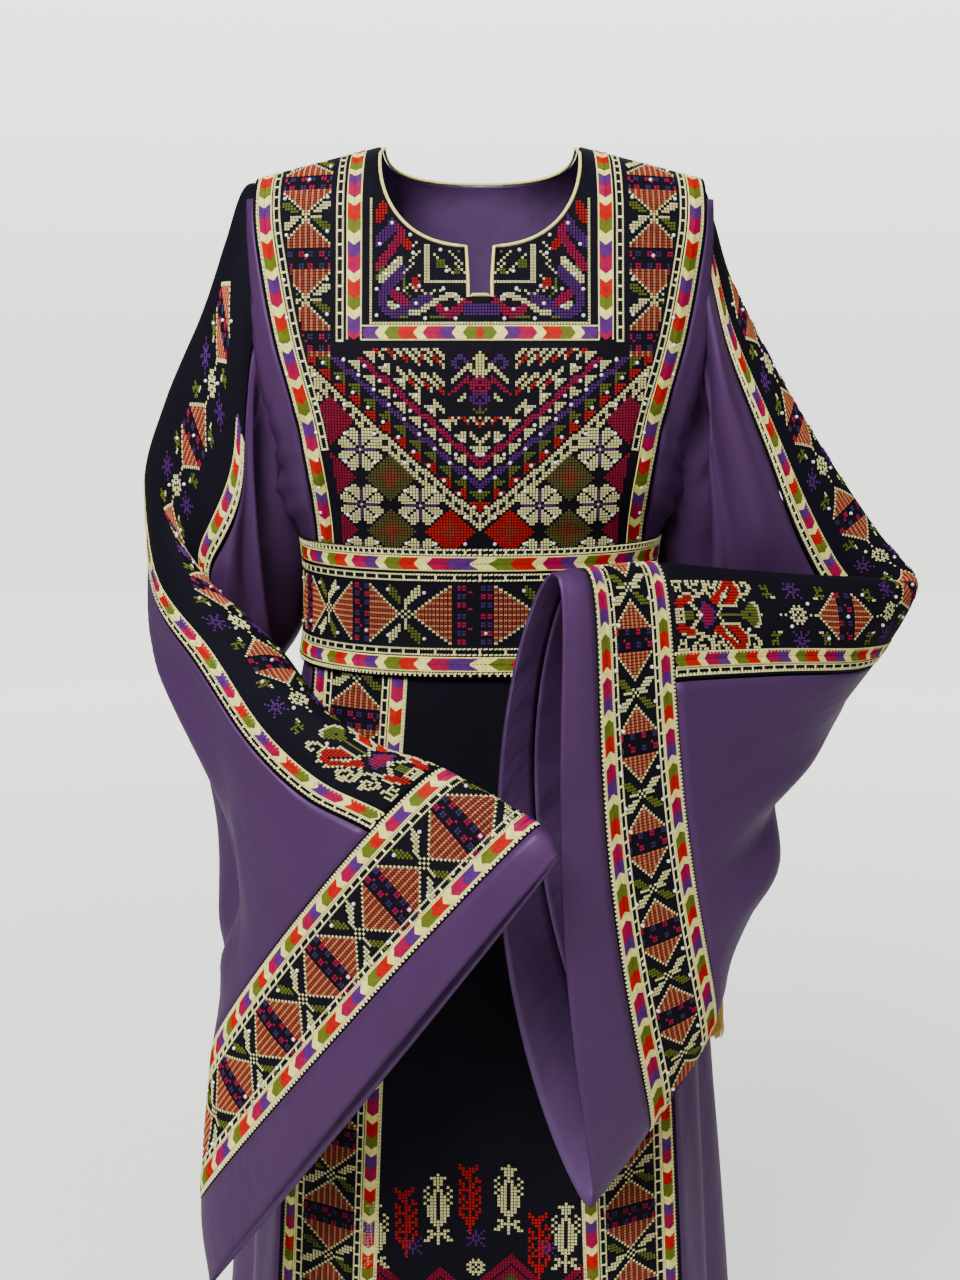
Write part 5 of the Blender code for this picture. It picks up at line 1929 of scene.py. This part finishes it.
def tube_mesh(name, points, radius, material, closed=False):
    """A round cord through points, as a mesh."""
    points = np.asarray(points, dtype=float)
    if closed:
        ways = np.roll(points, -1, axis=0) - np.roll(points, 1, axis=0)
    else:
        ways = np.gradient(points, axis=0)
    ways /= np.linalg.norm(ways, axis=1, keepdims=True)
    solid = bmesh.new()
    turns = [2 * math.pi * k / TUBE_SIDES for k in range(TUBE_SIDES)]
    rings, guide = [], np.cross(ways[0], (0.3, 1.0, 0.2))
    for point, way in zip(points, ways):
        guide = guide - way * guide.dot(way)
        guide /= np.linalg.norm(guide)
        other = np.cross(way, guide)
        spokes = [guide * math.cos(t) + other * math.sin(t) for t in turns]
        rings.append([solid.verts.new(point + radius * spoke) for spoke in spokes])
    for upper, lower in zip(rings, rings[1:] + rings[:1] if closed else rings[1:]):
        skin(solid, upper, lower)
    if not closed:
        solid.faces.new(rings[0])
        solid.faces.new(rings[-1])
    return smooth_piece(solid, name, material)


def build_binding():
    """Piped edge of the neck opening, down into the notch and round the back."""
    shares = [0.0, 0.03, NOTCH_SHARE, 0.075, NOTCH_TOP_SHARE, *np.linspace(0.12, 0.53, 26)]
    half = [binding_seat(front_top, share, -1) for share in shares]
    half.append(np.array((NECK_HALF_WIDTH - BINDING_RADIUS - BINDING_GAP, 0.0, NECK_POINT_Z - WALL / 2)))
    half += [binding_seat(back_top, share, 1) for share in np.linspace(0.0, 0.53, 26)[::-1]]
    points = half + [np.array((-x, y, z)) for x, y, z in reversed(half[1:-1])]
    piping = tube_mesh("neck_piping", points, BINDING_RADIUS, bpy.data.materials["corn_thread"], closed=True)
    put_away(piping, ["neck_binding"], "cream_binding")


def binding_seat(top_edge, share, facing):
    """Where the piping's middle lies beside a share of a neck edge."""
    x, z = top_edge(share)
    x_on, z_on = top_edge(share + 0.002)
    normal = front_or_back_normal(x, z, facing)
    edge = np.array((x, facing * (body_depth(x, z, facing) + SEAM / 2), z))
    edge_on = np.array((x_on, facing * (body_depth(x_on, z_on, facing) + SEAM / 2), z_on))
    away = np.cross(edge_on - edge, normal)
    away /= np.linalg.norm(away)
    if away.dot(np.array((0.0, 0.0, NECK_POINT_Z + 0.02)) - edge) < 0:
        away = -away
    return edge + away * (BINDING_RADIUS + BINDING_GAP - 0.0008) - normal * WALL / 2


def tie_route():
    """The tie hangs from the belt and rests against the side of the skirt down to the tassel."""
    angle = math.radians(TIE_BEARING - 90)
    points = []
    for i in range(TIE_POINTS):
        k = i / (TIE_POINTS - 1)
        z = TIE_TOP_Z + (TASSEL_TOP_Z + SEAM - TIE_TOP_Z) * k
        clearance = TIE_CLEARANCE + (TASSEL_CLEARANCE - TIE_CLEARANCE) * smooth_step(2 * k - 1)
        points.append(tuple(round_body(angle, z, clearance)))
    return points


def build_tie():
    """Twisted tie cord and its tassel."""
    route = tie_route()
    gold = bpy.data.materials["gold_floss"]
    tie = tube_mesh("tie_cord", route, TIE_RADIUS, gold)
    put_away(tie, ["belt_tie"], "gold_thread")
    x, y, _ = route[-1]
    tassel = build_tassel((x, y, TASSEL_TOP_Z), gold)
    put_away(tassel, ["belt_tassel"], "gold_thread")


GOLDEN_TURN = 2.39996  # radians from one strand of the tassel to the next


def build_tassel(top, material):
    """Bound head, and loose strands that fan out of it."""
    x, y, z = top
    solid = bmesh.new()
    profile = ((0.45, 0.0), (0.8, 0.12), (1.0, 0.35), (1.0, 0.58), (0.74, 0.70), (0.74, 0.76), (0.95, 1.0))
    turns = [2 * math.pi * k / 24 for k in range(24)]
    rings = []
    for share, level in profile:
        r, height = TASSEL_HEAD_RADIUS * share, z - TASSEL_HEAD_HEIGHT * level
        rings.append([solid.verts.new((x + r * math.cos(t), y + r * math.sin(t), height)) for t in turns])
    for upper, lower in zip(rings, rings[1:]):
        skin(solid, upper, lower)
    solid.faces.new(rings[0])
    solid.faces.new(rings[-1])
    chance = np.random.default_rng(7)
    base = z - TASSEL_HEAD_HEIGHT * 0.9
    settings = bpy.context.scene.thobe_sizes
    for n in range(settings.strand_count):
        spread = math.sqrt((n + 0.5) / settings.strand_count)
        turn = n * GOLDEN_TURN
        length = TASSEL_STRAND_LENGTH * (0.93 + 0.07 * chance.random())
        sway = 0.0030 * (chance.random(2) - 0.5)
        previous = None
        for step in range(6):
            k = step / 5
            r = TASSEL_HEAD_RADIUS * spread * (0.86 + 0.75 * math.sin(min(k * 1.6, 1.57)))
            mid_x = x + r * math.cos(turn) + sway[0] * math.sin(k * 5)
            mid_y = y + r * math.sin(turn) + sway[1] * math.sin(k * 5 + 1)
            width = settings.strand_width * (1 - 0.3 * k)
            ring = [
                solid.verts.new((mid_x + width * math.cos(a), mid_y + width * math.sin(a), base - length * k))
                for a in (0.0, 2.094, 4.189)
            ]
            if previous:
                skin(solid, previous, ring)
            else:
                solid.faces.new(ring[::-1])
            previous = ring
        solid.faces.new(previous)
    return smooth_piece(solid, "tassel", material)


CAMERA_PLACE = (0, -1.32, -0.175)
CAMERA_TILT = 78.3
CAMERA_SLOPE = 640 / 1430  # half the view's height over its distance
LAMP_TARGET = (0.0, 0.0, -0.45)


def build_stage():
    """Pale floor, soft lights and the camera."""
    scene = bpy.context.scene
    floor_mesh = bpy.data.meshes.new("floor")
    z = CAD_BOX[0][2] - 0.001
    floor_mesh.from_pydata([(-6, -6, z), (6, -6, z), (6, 6, z), (-6, 6, z)], [], [(0, 1, 2, 3)])
    floor = set_down("floor", floor_mesh)
    pale, shader = principled("pale_floor")
    feed(shader, {"Base Color": (0.62, 0.62, 0.60, 1), "Roughness": 0.9})
    feed(shader, {"Specular IOR Level": 0.0, "Emission Color": (0.98, 0.98, 0.94, 1)})
    tree = pale.node_tree
    place, path = node(tree, "ShaderNodeTexCoord"), node(tree, "ShaderNodeLightPath")
    reach = node(tree, "ShaderNodeVectorMath", operation="LENGTH")
    span = {"From Min": 0.3, "From Max": 4.2, "To Min": 0.28, "To Max": 1.85}
    glow = node(tree, "ShaderNodeMapRange", span)
    seen = node(tree, "ShaderNodeMath", {2: 0.20}, operation="MULTIPLY_ADD")
    link(
        tree,
        (place, "Object", reach, 0),
        (reach, "Value", glow, "Value"),
        (glow, 0, seen, 0),
        (path, "Is Camera Ray", seen, 1),
        (seen, 0, shader, "Emission Strength"),
    )
    floor_mesh.materials.append(pale)
    world = bpy.data.worlds.new("studio")
    scene.world = world
    world.use_nodes = True
    tree = world.node_tree
    soft = tree.nodes["Background"]
    feed(soft, {"Color": (0.90, 0.90, 0.96, 1), "Strength": 0.26})
    kinds = ("Background", "MixShader", "LightPath", "TexCoord", "SeparateXYZ")
    wall, blend, path, way, split = (node(tree, f"ShaderNode{kind}") for kind in kinds)
    rise = node(tree, "ShaderNodeMapRange", {"From Min": 0.0, "From Max": 0.22})
    shades = {"A": (2.05, 2.08, 2.00, 1), "B": (2.85, 2.92, 2.84, 1)}
    shade = node(tree, "ShaderNodeMix", shades, data_type="RGBA")
    link(
        tree,
        (way, "Generated", split, 0),
        (split, "Z", rise, "Value"),
        (rise, 0, shade, "Factor"),
        (shade, "Result", wall, "Color"),
        (path, "Is Camera Ray", blend, 0),
        (soft, 0, blend, 1),
        (wall, 0, blend, 2),
        (blend, 0, tree.nodes["World Output"], "Surface"),
    )
    for name, place, size, power in (
        ("key", (-1.1, -2.2, 2.1), 1.7, 245),
        ("fill", (1.9, -2.1, 1.0), 1.8, 22),
        ("back", (0.3, 3.0, 1.4), 2.4, 45),
    ):
        light = bpy.data.lights.new(name, "AREA")
        light.size, light.energy = size, power
        lamp = set_down(name, light)
        lamp.location = place
        aim = np.array(LAMP_TARGET) - np.array(place)
        tilt = math.acos(aim[2] / np.linalg.norm(aim)) - math.pi
        lamp.rotation_euler = (tilt, 0, math.atan2(aim[0], -aim[1]))
    lens = bpy.data.cameras.new("camera")
    lens.sensor_fit = "VERTICAL"
    lens.angle = 2 * math.atan(CAMERA_SLOPE)
    camera = set_down("camera", lens)
    camera.location = CAMERA_PLACE
    camera.rotation_euler = (math.radians(CAMERA_TILT), 0, 0)
    scene.camera = camera


FACTOR = {"default": 1.0, "min": 0.4, "max": 2.0, "subtype": "FACTOR"}
COLOUR = {"subtype": "COLOR", "size": 3, "min": 0, "max": 1}


class ThobeSizes(bpy.types.PropertyGroup):
    """Sizes that a maker may change."""

    thread_width: bpy.props.FloatProperty(
        name="Thread Width", description="Width of every stitch against its usual width", **FACTOR
    )
    thread_relief: bpy.props.FloatProperty(
        name="Thread Relief", description="Height of every stitch against its usual height", **FACTOR
    )
    crystal_radius: bpy.props.FloatProperty(
        name="Crystal Radius",
        description="Radius of a sewn-on crystal",
        default=BEAD_RADIUS,
        min=0.0005,
        max=0.003,
        precision=4,
        unit="LENGTH",
    )
    strand_count: bpy.props.IntProperty(
        name="Tassel Strands", description="Number of the tassel's strands", default=190, min=20, max=240
    )
    strand_width: bpy.props.FloatProperty(
        name="Strand Width",
        description="Radius of a tassel strand",
        default=0.00052,
        min=0.0002,
        max=0.001,
        precision=5,
        unit="LENGTH",
    )


class ThobeColours(bpy.types.PropertyGroup):
    """Colours of the dress's cloths."""

    satin: bpy.props.FloatVectorProperty(
        name="Satin", description="Purple satin", default=(0.064, 0.026, 0.086), **COLOUR
    )
    # Lighter than the outside satin: the satin's reverse face with painted light, which brightens the shaded
    # insides of the sleeves, cuffs and neck
    reverse: bpy.props.FloatVectorProperty(
        name="Satin Inside", description="Inside of the sleeves", default=(0.100, 0.048, 0.140), **COLOUR
    )
    crepe: bpy.props.FloatVectorProperty(
        name="Crepe", description="Navy crepe", default=(0.0032, 0.0026, 0.0062), **COLOUR
    )
    tassel: bpy.props.FloatVectorProperty(
        name="Tassel", description="Gold floss", default=(0.640, 0.330, 0.020), **COLOUR
    )


class THOBE_OT_materials(bpy.types.Operator):
    """Make the cloths, threads and crystals' finishes"""

    bl_idname = "thobe.materials"
    bl_label = "Materials"

    def execute(self, context):
        make_materials(context.scene.thobe_colours)
        return {"FINISHED"}


class THOBE_OT_stage(bpy.types.Operator):
    """Set up the floor, lights and camera"""

    bl_idname = "thobe.stage"
    bl_label = "Stage"

    def execute(self, context):
        build_stage()
        return {"FINISHED"}


class THOBE_OT_tie(bpy.types.Operator):
    """Make the tie cord and its tassel"""

    bl_idname = "thobe.tie"
    bl_label = "Tie and Tassel"

    def execute(self, context):
        build_tie()
        return {"FINISHED"}


class THOBE_OT_front(bpy.types.Operator):
    """Make the chest panel and skirt front with their embroidery"""

    bl_idname = "thobe.front"
    bl_label = "Front"

    def execute(self, context):
        build_front()
        return {"FINISHED"}


class THOBE_OT_back_and_sides(bpy.types.Operator):
    """Make the satin back and sides"""

    bl_idname = "thobe.back_and_sides"
    bl_label = "Back and Sides"

    def execute(self, context):
        build_back_and_sides()
        return {"FINISHED"}


class THOBE_OT_sleeves(bpy.types.Operator):
    """Make both sleeves with their panels and cuffs"""

    bl_idname = "thobe.sleeves"
    bl_label = "Sleeves"

    def execute(self, context):
        for name in SLEEVES:
            build_sleeve(name)
        return {"FINISHED"}


class THOBE_OT_belt(bpy.types.Operator):
    """Make the embroidered belt"""

    bl_idname = "thobe.belt"
    bl_label = "Belt"

    def execute(self, context):
        build_belt()
        return {"FINISHED"}


class THOBE_OT_binding(bpy.types.Operator):
    """Make the piped edge of the neck"""

    bl_idname = "thobe.binding"
    bl_label = "Neck Binding"

    def execute(self, context):
        build_binding()
        return {"FINISHED"}


STEPS = (
    THOBE_OT_materials,
    THOBE_OT_stage,
    THOBE_OT_tie,
    THOBE_OT_front,
    THOBE_OT_back_and_sides,
    THOBE_OT_sleeves,
    THOBE_OT_belt,
    THOBE_OT_binding,
)


class THOBE_PT_panel(bpy.types.Panel):
    """Sizes, colours and steps of the dress"""

    bl_label = "Thobe"
    bl_space_type = "VIEW_3D"
    bl_region_type = "UI"
    bl_category = "Thobe"

    def draw(self, context):
        for group in (context.scene.thobe_sizes, context.scene.thobe_colours):
            box = self.layout.box()
            for key in group.__annotations__:
                box.prop(group, key)
        for step in STEPS:
            self.layout.operator(step.bl_idname)


CLASSES = (ThobeSizes, ThobeColours, *STEPS, THOBE_PT_panel)


def register():
    for item in CLASSES:
        bpy.utils.register_class(item)
    bpy.types.Scene.thobe_sizes = bpy.props.PointerProperty(type=ThobeSizes)
    bpy.types.Scene.thobe_colours = bpy.props.PointerProperty(type=ThobeColours)


def unregister():
    del bpy.types.Scene.thobe_colours
    del bpy.types.Scene.thobe_sizes
    for item in reversed(CLASSES):
        bpy.utils.unregister_class(item)


def main():
    register()
    for step in STEPS:
        group, name = step.bl_idname.split(".")
        getattr(getattr(bpy.ops, group), name)()


if __name__ == "__main__":
    main()
